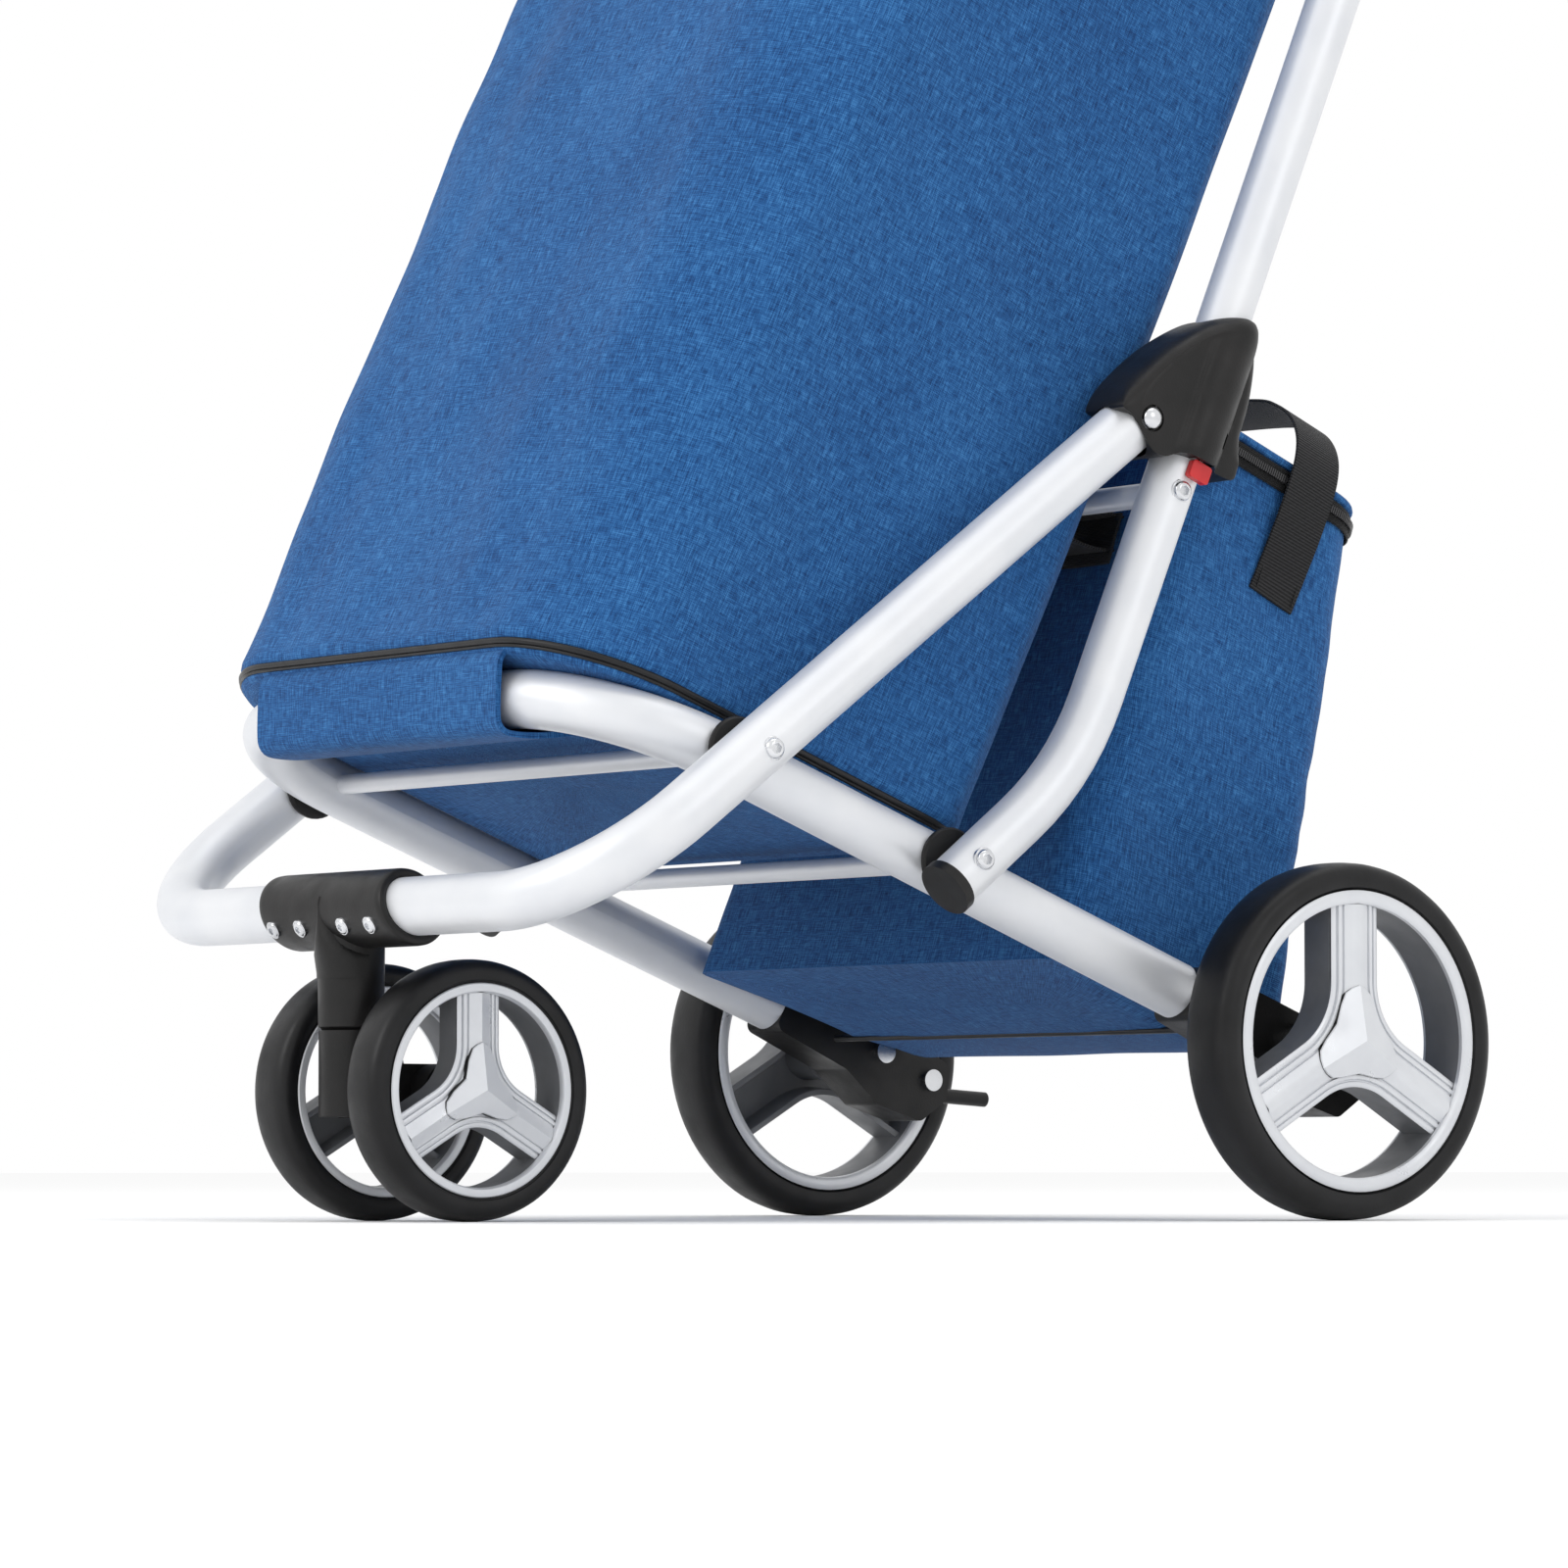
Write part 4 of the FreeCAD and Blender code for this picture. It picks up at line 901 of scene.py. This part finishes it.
def cooler_ring(t, grow=0.0, lift=0.0, step=4.0, sag=1.0):
    """The cooler's outline at a fraction t of its height."""
    rear, front = REAR_FOOT.lerp(REAR_TOP, t), FRONT_FOOT.lerp(FRONT_TOP, t)
    depth = (front - rear).length
    forward = (front - rear).normalized()
    up = Vector((0, -forward.z, forward.y)) * -1.0
    points = []
    radius = COOLER_R - 17.0 * max(0.0, 1.0 - t / 0.35)
    for x, d, nx, nd in rounded(COOLER_HALF + 1.5, depth, radius, radius, step):
        out = grow + sag * cooler_outset(x, d / depth, nx, nd, t)
        p = rear + forward * (d + nd * out) + up * lift
        points.append(Vector((x + nx * out, p.y, p.z)))
    return resample(points, int(840.0 / step), closed=True)


def cooler_outset(x, d, nx, nd, t):
    """Slack cloth: a soft belly and deep slanting folds in the lower half."""
    ends = math.sin(math.pi * min(max(t, 0.0), 1.0))
    out = ends * (2.0 if nd < -0.3 else 1.2) - 1.0
    low = math.exp(-((t - 0.25) / 0.28) ** 2)
    fold = soft(x * 0.5 + t * 60.0, d * 90.0, t * 150.0, 34.0, 7.7) * 4.2 * low
    crease = soft(x, d * 70.0 - t * 80.0, t * 260.0, 19.0, 2.8) * 1.6 * ends
    return out + (fold + crease) * (0.35 if nd > 0.3 else 1.0)


def cooler_bag():
    net = Net()
    fractions = [k / 60.0 for k in range(61)]
    rows = [cooler_ring(t) for t in fractions]
    net.grid(rows, wrap=True)
    inner = [cooler_ring(t, -5.0, sag=0.2) for t in (0.03, 0.25, 0.5, 0.75, 1.0)]
    net.grid(inner, wrap=True, number=1, flip=True)
    net.grid([rows[-1], inner[-1]], wrap=True, number=1)
    middle = sum((Vector(p) for p in inner[0]), Vector()) / len(inner[0])
    net.fan(inner[0], middle, number=1)
    foot = rows[0]
    base = Vector((0, -52.0, 104.0))
    rings = []
    for t in (0.0, 0.06, 0.2, 0.45, 0.7):
        ring = []
        for p in foot:
            q = p.lerp(Vector((p.x * 0.3, base.y, base.z)), t)
            spread = max(0.0, 1.0 - abs(q.y - MID_FOOT.y) / 80.0)
            ring.append(q - UP * (7.0 * spread * min(t * 6.0, 1.0)))
        rings.append(ring)
    net.grid(rings, wrap=True, flip=True)
    net.fan(rings[-1], base - Vector((0, 0, 7.0)))
    make("cooler_cloth", net, [FABRIC, LINING], "handle_frame", ["cooler_bag"],
         smooth=60)


cooler_bag()


def zip_band():
    """The black zip tape round the rim, with the blocks of its coil."""
    tape = Net()
    rows = [cooler_ring(0.957, 1.0, sag=0.6), cooler_ring(0.959, 1.9, sag=0.6),
            cooler_ring(0.978, 1.7, sag=0.6), cooler_ring(0.997, 1.7, sag=0.6),
            cooler_ring(1.0, 0.6, sag=0.6)]
    tape.grid(rows, wrap=True)
    make("cooler_zip_tape", tape, TAPE, "handle_frame", (), smooth=30)
    teeth = Net()
    path = resample(cooler_ring(0.979, 2.5, sag=0.6), 580, closed=True)
    for i, p in enumerate(path):
        along = (path[(i + 1) % len(path)] - path[i - 1]).normalized()
        up = (FRONT_TOP - FRONT_FOOT).normalized()
        up = (up - along * up.dot(along)).normalized()
        teeth.block(p, (0.44, 1.9, 0.9), (along, up, along.cross(up)))
    make("cooler_zip_teeth", teeth, COIL, "handle_frame", (), smooth=20,
         weld=0)


zip_band()


def cooler_lid():
    """The padded lid: blue edge band and a softly domed top."""
    net = Net()
    rows = []
    shape = [(-3.0, 0.8), (0.2, 1.0), (1.0, 1.8), (1.2, 3.0), (0.6, 4.4), (-1.6, 5.4),
             (-8.0, 6.8), (-26.0, 9.6)]
    for out, lift in shape:
        rows.append(cooler_ring(1.0, out, lift, sag=0.0, step=5.0))
    middle = sum((Vector(p) for p in rows[-1]), Vector()) / len(rows[-1])
    for t in (0.35, 0.7):
        ring = [p.lerp(middle, t) for p in rows[7]]
        rows.append([p + UP * (0.8 + soft(p.x, p.y, 0, 42.0, 9.1) * 1.6)
                     for p in ring])
    net.grid(rows, wrap=True)
    net.fan(rows[-1], middle + Vector((0, 0, 1.4)))
    low = sum((Vector(p) for p in rows[0]), Vector()) / len(rows[0])
    net.fan(rows[0], low)
    lid = make("cooler_lid_cloth", net, FABRIC, "cooler_lid_flap", ["cooler_lid"],
               smooth=60)


cooler_lid()


def cooler_pocket():
    """The slack net pocket on the rear face, bound along its edges."""
    rise = (REAR_TOP - REAR_FOOT).normalized()
    out = Vector((0, rise.z, -rise.y))
    net, binding = Net(), Net()
    rows, low, high, half = [], 30.0, 172.0, 122.0
    for j in range(30):
        t = j / 29.0
        row = []
        for i in range(61):
            x = -half + 2 * half * i / 60.0
            edge = 1.0 - (abs(x) / half) ** 4
            bulge = (2.0 + 9.0 * math.sin(math.pi * min(t * 1.15, 1.0)) ** 0.7) * edge ** 0.6
            bulge += soft(x, t * 90.0, 0, 28.0, 3.3) * 1.3 * edge
            point = REAR_FOOT + rise * (low + (high - low) * t) + out * (1.6 + bulge)
            row.append(point + X_AXIS * x)
        rows.append(row)
    net.grid(rows)
    pocket = make("pocket_net", net, NET, "handle_frame", ["cooler_pocket"])
    wide, tall = lengths(rows[15], False)[-1], lengths([r[30] for r in rows], False)[-1]
    sweep(binding, rows[-1], strap_section(9.0, 2.0), side=lambda i: rise)
    for column in (0, 60):
        sweep(binding, [r[column] for r in rows], strap_section(7.0, 1.8), side=X_AXIS)
    sweep(binding, rows[0], strap_section(7.0, 1.8), side=lambda i: rise)
    make("pocket_binding", binding, TAPE, "handle_frame", ())


cooler_pocket()


def cooler_trim():
    """The piping across the cooler's foot."""
    piping = Net()
    line = [Vector((x, -38.0, 94.0)) for x in range(-146, 147, 6)]
    sweep(piping, line, circle(1.8, 10))
    make("cooler_foot_piping", piping, CORDING, "handle_frame", ())


cooler_trim()


def closure_patches():
    """Black hook-and-loop patches on the cooler's front, under the hanger straps."""
    rise = (FRONT_TOP - FRONT_FOOT).normalized()
    forward = Vector((0, -rise.z, rise.y))
    net = Net()
    for x in (-95.0, 95.0):
        middle = FRONT_FOOT + rise * 222.0 + forward * 3.2 + X_AXIS * x
        path = [middle + rise * (4.5 * k - 13.5) + forward * (0.5 - 0.12 * abs(k - 3))
                for k in range(7)]
        sweep(net, path, strap_section(44.0, 2.0, 0.6), side=X_AXIS)
    make("closure_patches", net, TAPE, "handle_frame", (), smooth=50)


closure_patches()


def carrying_strap():
    """The webbing loop over the cooler, sewn low on both sides."""
    side = COOLER_HALF + 6.0
    right = [(side - 4.2, 13.0, 309.0), (side - 3.4, 18.0, 320.0), (side + 0.2, 30.0, 350.0),
             (side - 1.0, 41.0, 376.0), (side - 10.0, 48.0, 393.0), (side - 30.0, 54.0, 405.0),
             (side - 62.0, 58.0, 411.0), (0.0, 60.0, 413.0)]
    left = [(-x, y, z) for x, y, z in reversed(right[:-1])]
    path = smooth_path(right + left, 150)
    net = Net()
    sweep(net, path, strap_section(30.0, 2.0), side=Vector((0, 0.9165, -0.4)))
    strap = make("cooler_webbing", net, WEBBING, "handle_frame", ["cooler_handle_strap"],
                 smooth=50)
    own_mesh(strap)
    stitches = Net()
    for sign in (-1, 1):
        for row in (-12.0, 12.0):
            for k in range(9):
                centre = Vector((sign * (side - 2.6), 15.0 + row * 0.9165 + k * 0.9,
                                 312.0 - row * 0.4 + k * 2.2))
                stitches.block(centre, (0.25, 0.35, 0.8), (X_AXIS, Vector((0, 0.9165, -0.4)),
                                                           Vector((0, 0.4, 0.9165))))
    make("cooler_webbing_stitches", stitches, CORDING, "handle_frame", (),
         weld=0)


carrying_strap()


# ---- runners ------------------------------------------------------------------------
def runner_housing(side_name, side):
    """The shark-fin slider: a swelling over the leg, a plate over the front frame's end."""
    outline = [(-132.0, 393.0), (-124.0, 404.5), (-102.0, 422.5), (-76.0, 436.5), (-59.0, 440.0),
               (-46.0, 437.0), (-41.0, 424.0), (-44.0, 402.0), (-50.5, 383.0), (-56.0, 366.0),
               (-60.0, 360.5), (-74.0, 364.5), (-84.0, 367.0), (-97.0, 371.0), (-106.0, 369.0),
               (-114.0, 371.0), (-120.5, 379.5), (-126.0, 387.5), (-130.5, 390.0)]
    path = smooth_path([(0, y, z) for y, z in outline], 144, closed=True)
    centre = Vector((0, -86.0, 402.0))
    net = Net()
    x_in, x_out = 183.0 * side, 219.0 * side
    shrink = [0.0, 0.012, 0.04, 0.08, 0.13, 0.165, 0.19, 0.21, 0.23, 0.26]
    shrink += [0.30 + 0.04 * k for k in range(17)]
    axis = on_handle(402.0)

    def outer_height(p, f):
        fin = min(max((p.z - 392.0 + 0.30 * (p.y + 132.0)) / 14.0, 0.0), 1.0)
        q = (p - axis).dot(HANDLE_BACK)
        edge = (1.2 + 8.8 * fin) * (1.0 - math.sqrt(max(0.0, 1.0 - (1.0 - min(f / 0.2, 1.0)) ** 2)))
        tube = math.sqrt(max(18.0 ** 2 - q * q, 0.0)) - 18.0 + 2.4
        if q > -4.0:
            return max(tube, -9.0) - edge
        bead = 1.0 * math.exp(-((q + 12.6) / 1.5) ** 2)
        bead += 0.7 * fin * math.exp(-((f - 0.21) / 0.03) ** 2) * min(max(-q / 12.0, 0.0), 1.0)
        return max(tube, -2.3) + bead - edge

    rows = []
    for f in shrink:
        rows.append([p.lerp(centre, f) for p in path])
    outer_rows = []
    for f, row in zip(shrink, rows):
        outer_rows.append([Vector((x_out + side * outer_height(p, f), p.y, p.z)) for p in row])
    peak = Vector((x_out + side * outer_height(centre, 1.0), centre.y, centre.z))
    net.grid(outer_rows, wrap=True)
    net.fan(outer_rows[-1], peak)
    inner_rows = []
    for f, row in zip(shrink, rows):
        lift = 4.0 * (1.0 - math.sqrt(max(0.0, 1.0 - (1.0 - min(f / 0.10, 1.0)) ** 2)))
        inner_rows.append([Vector((x_in + side * lift, p.y, p.z)) for p in row])
    net.grid(inner_rows, wrap=True, flip=True)
    net.fan(inner_rows[-1], Vector((x_in, centre.y, centre.z)), flip=True)
    net.grid([inner_rows[0], outer_rows[0]], wrap=True)
    piece = make(f"runner_shell_{side_name}", net, BLACK, "runner_pair",
                 [f"runner_housing_{side_name}"], smooth=32)
    hollow(piece, runner_hollows(side))
    return piece


def runner_hollows(side):
    """The bores cut from a runner: the leg, the front frame's swing, the rivet, a slot."""
    cuts = []
    leg = Net()
    middle = on_handle(402.0) + X_AXIS * (LEG_X * side)
    sweep(leg, [middle - HANDLE_DIR * 80.0, middle + HANDLE_DIR * 80.0], circle(13.35, 40))
    cuts.append(leg)
    end = Net()
    pivot = RUNNER_PIVOT + X_AXIS * (200.5 * side)
    normal = Vector((0, -FRONT_DIR.z, FRONT_DIR.y))
    near, far = pivot + FRONT_DIR * 9.5, pivot - FRONT_DIR * 60.0
    rows = []
    for k in range(13):
        t = k / 12.0
        p = near.lerp(far, t)
        swing = max(0.0, (pivot - p).dot(FRONT_DIR)) * math.tan(math.radians(12.0))
        row = []
        for i in range(32):
            a = math.tau * i / 32
            tall = math.sin(a) * 14.9
            if tall < 0:
                tall -= swing
            row.append(p + X_AXIS * (math.cos(a) * 14.7) + normal * tall)
        rows.append(row)
    end.grid(rows, wrap=True)
    end.fan(rows[0], near)
    end.fan(rows[-1], far)
    cuts.append(end)
    turning = Net()
    profile = [(x, math.sqrt(9.5 ** 2 + 14.2 ** 2 - x * x) + 0.6)
               for x in (-14.0, -12.0, -8.0, -4.0, 0.0, 4.0, 8.0, 12.0, 14.0)]
    turned(turning, [(pivot.x + x, radius) for x, radius in profile], pivot, 48)
    for x in (-14.0, 14.0):
        ring = [p for p in turning.points if abs(p[0] - pivot.x - x) < 0.01]
        turning.fan(ring, pivot + X_AXIS * x)
    cuts.append(turning)
    sink = Net()
    face = RUNNER_PIVOT + X_AXIS * (214.9 * side)
    sweep(sink, [face, face + X_AXIS * (8.0 * side)], circle(6.6, 32))
    cuts.append(sink)
    slot = Net()
    spot = on_handle(383.0) + HANDLE_BACK * 13.0
    slot.block(spot + X_AXIS * (208.0 * side), (12.0, 1.7, 4.2), (X_AXIS, HANDLE_BACK, HANDLE_DIR))
    cuts.append(slot)
    button = Net()
    spot = on_handle(BUTTON_ALONG) + HANDLE_BACK * 4.0 + HANDLE_DIR * 3.0
    button.block(spot + X_AXIS * (215.2 * side), (2.3, 6.5, 9.5), (X_AXIS, HANDLE_BACK, HANDLE_DIR))
    cuts.append(button)
    return cuts


def hollow(piece, cuts):
    """Cuts shapes out of a piece and keeps the result as its mesh."""
    for number, net in enumerate(cuts):
        cutter = make(f"{piece.name}_cut_{number}", net, BLACK, None, smooth=None)
        modifier = piece.modifiers.new("Cut", "BOOLEAN")
        modifier.operation, modifier.solver, modifier.object = "DIFFERENCE", "EXACT", cutter
        bpy.context.view_layer.update()
        graph = bpy.context.evaluated_depsgraph_get()
        mesh = bpy.data.meshes.new_from_object(piece.evaluated_get(graph))
        piece.modifiers.remove(modifier)
        piece.data = mesh
        bpy.data.objects.remove(cutter)
    piece.data.polygons.foreach_set("use_smooth", [True] * len(piece.data.polygons))
    piece.data.set_sharp_from_angle(angle=math.radians(32))


for side_name, side in SIDES:
    runner_housing(side_name, side)


# ---- bolts, rivets and washers ------------------------------------------------------
def round_about(net, centre, axis, profile, segments=36, number=0):
    """A profile of (radius, height) turned about any axis. A negative radius is a hexagon."""
    axis = Vector(axis).normalized()
    a = axis.orthogonal().normalized()
    b = axis.cross(a)
    rows = []
    for radius, height in profile:
        row = []
        for i in range(segments):
            turn = math.tau * i / segments
            r = radius
            if radius < 0:
                local = (turn + math.pi / 6) % (math.pi / 3) - math.pi / 6
                r = -radius * math.cos(math.pi / 6) / math.cos(local)
            row.append(Vector(centre) + a * (r * math.cos(turn)) + b * (r * math.sin(turn))
                       + axis * height)
        rows.append(row)
    net.grid(rows, wrap=True, number=number)
    net.fan(rows[0], Vector(centre) + axis * profile[0][1], number=number)
    net.fan(rows[-1], Vector(centre) + axis * profile[-1][1], number=number)


def socket_bolt(net, seat, axis, radius, tall):
    """A button head with a washer under it and a hexagon socket."""
    profile = [(radius * 1.12, -1.2), (radius * 1.12, 0.35), (radius * 1.06, 0.6),
               (radius * 0.96, 0.6), (radius * 0.95, tall * 0.45), (radius * 0.84, tall * 0.78),
               (radius * 0.66, tall * 0.97), (radius * 0.52, tall), (-radius * 0.5, tall * 0.96),
               (-radius * 0.46, tall * 0.35), (radius * 0.12, tall * 0.3)]
    round_about(net, seat, axis, profile)


def bolts():
    for name, node, body, pivot, x in (
            ("front_pivot_heads", "front_pivot_bolts", "front_frame", FRONT_PIVOT, 213.6),
            ("handle_pivot_heads", "handle_pivot_bolts", "handle_frame", HANDLE_PIVOT, 212.1),
            ("crossbar_heads", "crossbar_bolts", "handle_frame", CROSSBAR, 212.1)):
        net = Net()
        for _, side in SIDES:
            socket_bolt(net, pivot + X_AXIS * (x * side), X_AXIS * side, 5.2, 3.3)
        make(name, net, STEEL, body, [node], smooth=35)
    net = Net()
    tilt = math.radians(28.0)
    out = Vector((0, -math.cos(tilt), -math.sin(tilt)))
    for x in (-43.0, -19.0, 19.0, 43.0):
        socket_bolt(net, FRONT_BAR + out * 19.0 + X_AXIS * x, out, 4.0, 1.5)
    make("bracket_heads", net, STEEL, "front_frame", ["caster_bracket_bolts"],
         smooth=35)
    net = Net()
    for _, side in SIDES:
        profile = [(4.0, -34.0), (4.0, 0.0), (5.6, 0.2), (5.5, 1.6), (4.8, 2.8), (3.3, 3.8),
                   (1.4, 4.3), (0.2, 4.4)]
        round_about(net, RUNNER_PIVOT + X_AXIS * (215.0 * side), X_AXIS * side, profile)
    make("rivet_heads", net, STEEL, "runner_pair", ["runner_rivets"], smooth=35)
    net = Net()
    for pivot in (FRONT_PIVOT, HANDLE_PIVOT):
        for _, side in SIDES:
            profile = [(15.2, -1.6), (16.4, -0.6), (16.4, 1.0), (15.4, 2.0), (9.0, 2.3)]
            round_about(net, pivot + X_AXIS * (184.9 * side), X_AXIS * side, profile)
    make("pivot_washers", net, BLACK, "base_frame", ["pivot_spacers"], smooth=35)


bolts()


def caster_bracket():
    """The moulded T: a sleeve with bevelled ends, a wedge of web, and a stem."""
    net = Net()
    around, reach, bore, skew = 72, 54.5, 14.05, 6.0
    ends = [(0.6, bore), (0.0, 15.2), (0.0, 16.6), (0.5, 17.6), (1.8, 18.2), (4.5, 18.4)]
    profile = [(-reach + inset, radius) for inset, radius in ends]
    profile += [(-reach + 4.5 + (2 * reach - 9.0) * k / 12.0, 18.4) for k in range(1, 12)]
    profile += [(reach - inset, radius) for inset, radius in reversed(ends)]
    rows = []
    for x, radius in profile:
        row = []
        for i in range(around):
            turn = math.tau * i / around
            low = max(math.sin(turn - 0.9), 0.0) ** 2 * (radius > bore + 0.5)
            lean = skew * math.sin(turn) * min(abs(x) / reach, 1.0) ** 3
            out = Vector((0, -math.cos(turn), -math.sin(turn)))
            row.append(FRONT_BAR + out * (radius + 1.1 * low) + X_AXIS * (x + lean))
        rows.append(row)
    net.grid(rows, wrap=True)
    rows = []
    for z, radius in ((91.2, 13.8), (92.3, 14.6), (92.9, 15.8), (104.0, 15.9), (126.0, 16.1),
                      (140.0, 16.2)):
        rows.append([Vector((math.cos(math.tau * i / 48) * radius,
                             -433.5 + math.sin(math.tau * i / 48) * radius, z))
                     for i in range(48)])
    net.grid(rows, wrap=True)
    net.fan(rows[0], Vector((0, -433.5, 91.2)))
    web, steps = [], 14
    for k in range(steps + 1):
        rise = k / steps
        z = 116.0 + 39.0 * rise
        wide = 16.15 * (1.0 - max((z - 128.0) / 27.5, 0.0) ** 0.85)
        front = 16.1 + 3.2 * min(max((z - 118.0) / 16.0, 0.0), 1.0)
        front = min(front, math.sqrt(max(19.3 ** 2 - max(z - 149.0, 0.0) ** 2, 0.0)))
        row = []
        for i in range(17):
            turn = math.pi * (i / 16.0 - 0.5)
            row.append(Vector((math.sin(turn) * wide, -433.5 - front * math.cos(turn) ** 0.8, z)))
        web.append(row)
    net.grid(web)
    make("caster_tee", net, BLACK, "front_frame", ["caster_bracket"], smooth=38)


caster_bracket()


def hangers():
    """Webbing loops: two round the handle legs for the bag, two round the crossbar."""
    net = Net()
    for _, side in SIDES:
        leg = on_handle(630.0) + X_AXIS * (LEG_X * side)
        back = HANDLE_BACK
        inward = X_AXIS * -side
        path = [leg + inward * 31.0 - back * 6.0, leg + inward * 22.0 - back * 8.5]
        for k in range(13):
            turn = math.radians(140.0 + k * 22.0)
            path.append(leg + (inward * math.cos(turn) - back * math.sin(turn)) * -14.6)
        path += [leg + inward * 22.0 - back * 4.5, leg + inward * 31.0 - back * 2.6]
        sweep(net, smooth_path(path, 60), strap_section(30.0, 1.9), side=HANDLE_DIR)
    make("bag_hanger_loops", net, WEBBING, "handle_frame", ["bag_hanger_straps"],
         smooth=50)
    net = Net()
    route = [(-54.0, 333.0), (-70.0, 334.0), (-86.0, 338.5), (-97.0, 344.0), (-102.4, 350.0),
             (-101.8, 357.5), (-96.0, 361.8), (-88.0, 361.0), (-76.0, 356.5), (-62.0, 352.5),
             (-49.0, 350.0)]
    for x in (-95.0, 95.0):
        path = smooth_path([(x, y, z) for y, z in route], 60)
        sweep(net, path, strap_section(38.0, 1.8), side=X_AXIS)
    make("cooler_hanger_loops", net, WEBBING, "handle_frame", ["cooler_hanger_straps"],
         smooth=50)


hangers()


def return_springs():
    """The small coil springs above the release buttons."""
    centre = on_handle(BUTTON_ALONG) + HANDLE_BACK * 4.0
    for side_name, side in SIDES:
        net, turns, wire = Net(), 6.0, 0.3
        top = centre + HANDLE_DIR * 14.0 + X_AXIS * (215.3 * side)
        path = []
        for k in range(121):
            turn = math.tau * turns * k / 120.0
            path.append(top - HANDLE_DIR * (8.6 * k / 120.0) + X_AXIS * (1.05 * math.cos(turn))
                        + HANDLE_BACK * (1.05 * math.sin(turn)))
        sweep(net, path, circle(wire, 6))
        spring = make(f"return_spring_{side_name}", net, STEEL, "runner_pair",
                      [f"button_spring_{side_name}"], weld=0)
        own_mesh(spring)


return_springs()


def grip():
    """The soft foam sleeve on the handle's top bar, squeezed a little at its ends."""
    net = Net()
    half, bore = 95.0, 13.1
    centre = on_handle(1010.0)
    ends = [(0.5, bore), (0.0, 14.2), (0.3, 15.6), (1.2, 16.5), (2.8, 16.9)]
    profile = [(-half + inset, radius) for inset, radius in ends]
    for k in range(1, 40):
        x = -half + 2.8 + (2 * half - 5.6) * k / 40.0
        profile.append((x, 16.9 + 0.25 * math.cos(x / half * math.pi) + soft(x, 0, 0, 9.0, 3.7) * 0.2))
    profile += [(half - inset, radius) for inset, radius in reversed(ends)]
    turned(net, profile, centre, 64)
    sleeve = make("grip_sleeve", net, FOAM, "handle_frame", ["handle_grip"])


grip()


# ---- carried-over frame pieces ------------------------------------------------------
dress(TUBE, "base_tube", "front_tube", "handle_tube", "handle_crossbar", "front_cross_rod",
      "rear_cross_rod")
dress(STEEL, "bracket_bolts", "stub_axle_left", "stub_axle_right", "caster_axle",
      "caster_kingpin")
dress(BLACK, "axle_bracket_left", "axle_bracket_right", "caster_stem", "handle_end_caps",
      "rear_bush_left", "rear_bush_right")
dress(RED, "release_button_left", "release_button_right")
dress(BOARD, "bag_base_board")


# ---- stage, light and camera --------------------------------------------------------
def stage():
    mesh = bpy.data.meshes.new("floor")
    reach = 30.0
    mesh.from_pydata([(-reach, -reach, 0), (reach, -reach, 0), (reach, reach, 0),
                      (-reach, reach, 0)], [], [(0, 1, 2, 3)])
    floor = bpy.data.objects.new("floor", mesh)
    pale = Shader("floor_pale", (0.95, 0.95, 0.95), 0.9, specular=0.0)
    mesh.materials.append(pale.material)
    bpy.context.scene.collection.objects.link(floor)
    world = bpy.data.worlds.new("studio")
    world.use_nodes = True
    world.node_tree.nodes["Background"].inputs["Color"].default_value = (1, 1, 1, 1)
    world.node_tree.nodes["Background"].inputs["Strength"].default_value = 1.0
    bpy.context.scene.world = world
    bpy.context.scene.view_settings.view_transform = "Standard"


def area_light(name, at, target, size, power):
    light = bpy.data.lights.new(name, "AREA")
    light.shape, light.size, light.size_y, light.energy = "RECTANGLE", size[0], size[1], power
    lamp = bpy.data.objects.new(name, light)
    lamp.location = at
    lamp.rotation_mode = "QUATERNION"
    lamp.rotation_quaternion = (Vector(target) - Vector(at)).to_track_quat("-Z", "Y")
    bpy.context.scene.collection.objects.link(lamp)


def camera():
    lens = bpy.data.cameras.new("view")
    lens.lens, lens.sensor_width = 158.04, 36.0
    lens.clip_start, lens.clip_end = 0.05, 100.0
    eye = bpy.data.objects.new("view", lens)
    eye.location = (2.7878, -2.1986 + SHIFT_Y * 0.001, 0.0255)
    azimuth, pitch = math.radians(54.063), math.radians(3.195)
    forward = Vector((-math.sin(azimuth) * math.cos(pitch), math.cos(azimuth) * math.cos(pitch),
                      math.sin(pitch)))
    eye.rotation_mode = "QUATERNION"
    eye.rotation_quaternion = forward.to_track_quat("-Z", "Y")
    bpy.context.scene.collection.objects.link(eye)
    bpy.context.scene.camera = eye


stage()
area_light("key", (-0.2, -3.4, 2.2), (0, -0.1, 0.35), (1.6, 1.6), 36.0)
area_light("side", (3.4, 0.6, 1.8), (0, 0, 0.3), (1.2, 1.2), 8.0)
area_light("top", (0.2, 0.4, 3.4), (0, 0, 0.3), (2.2, 2.2), 16.0)
camera()
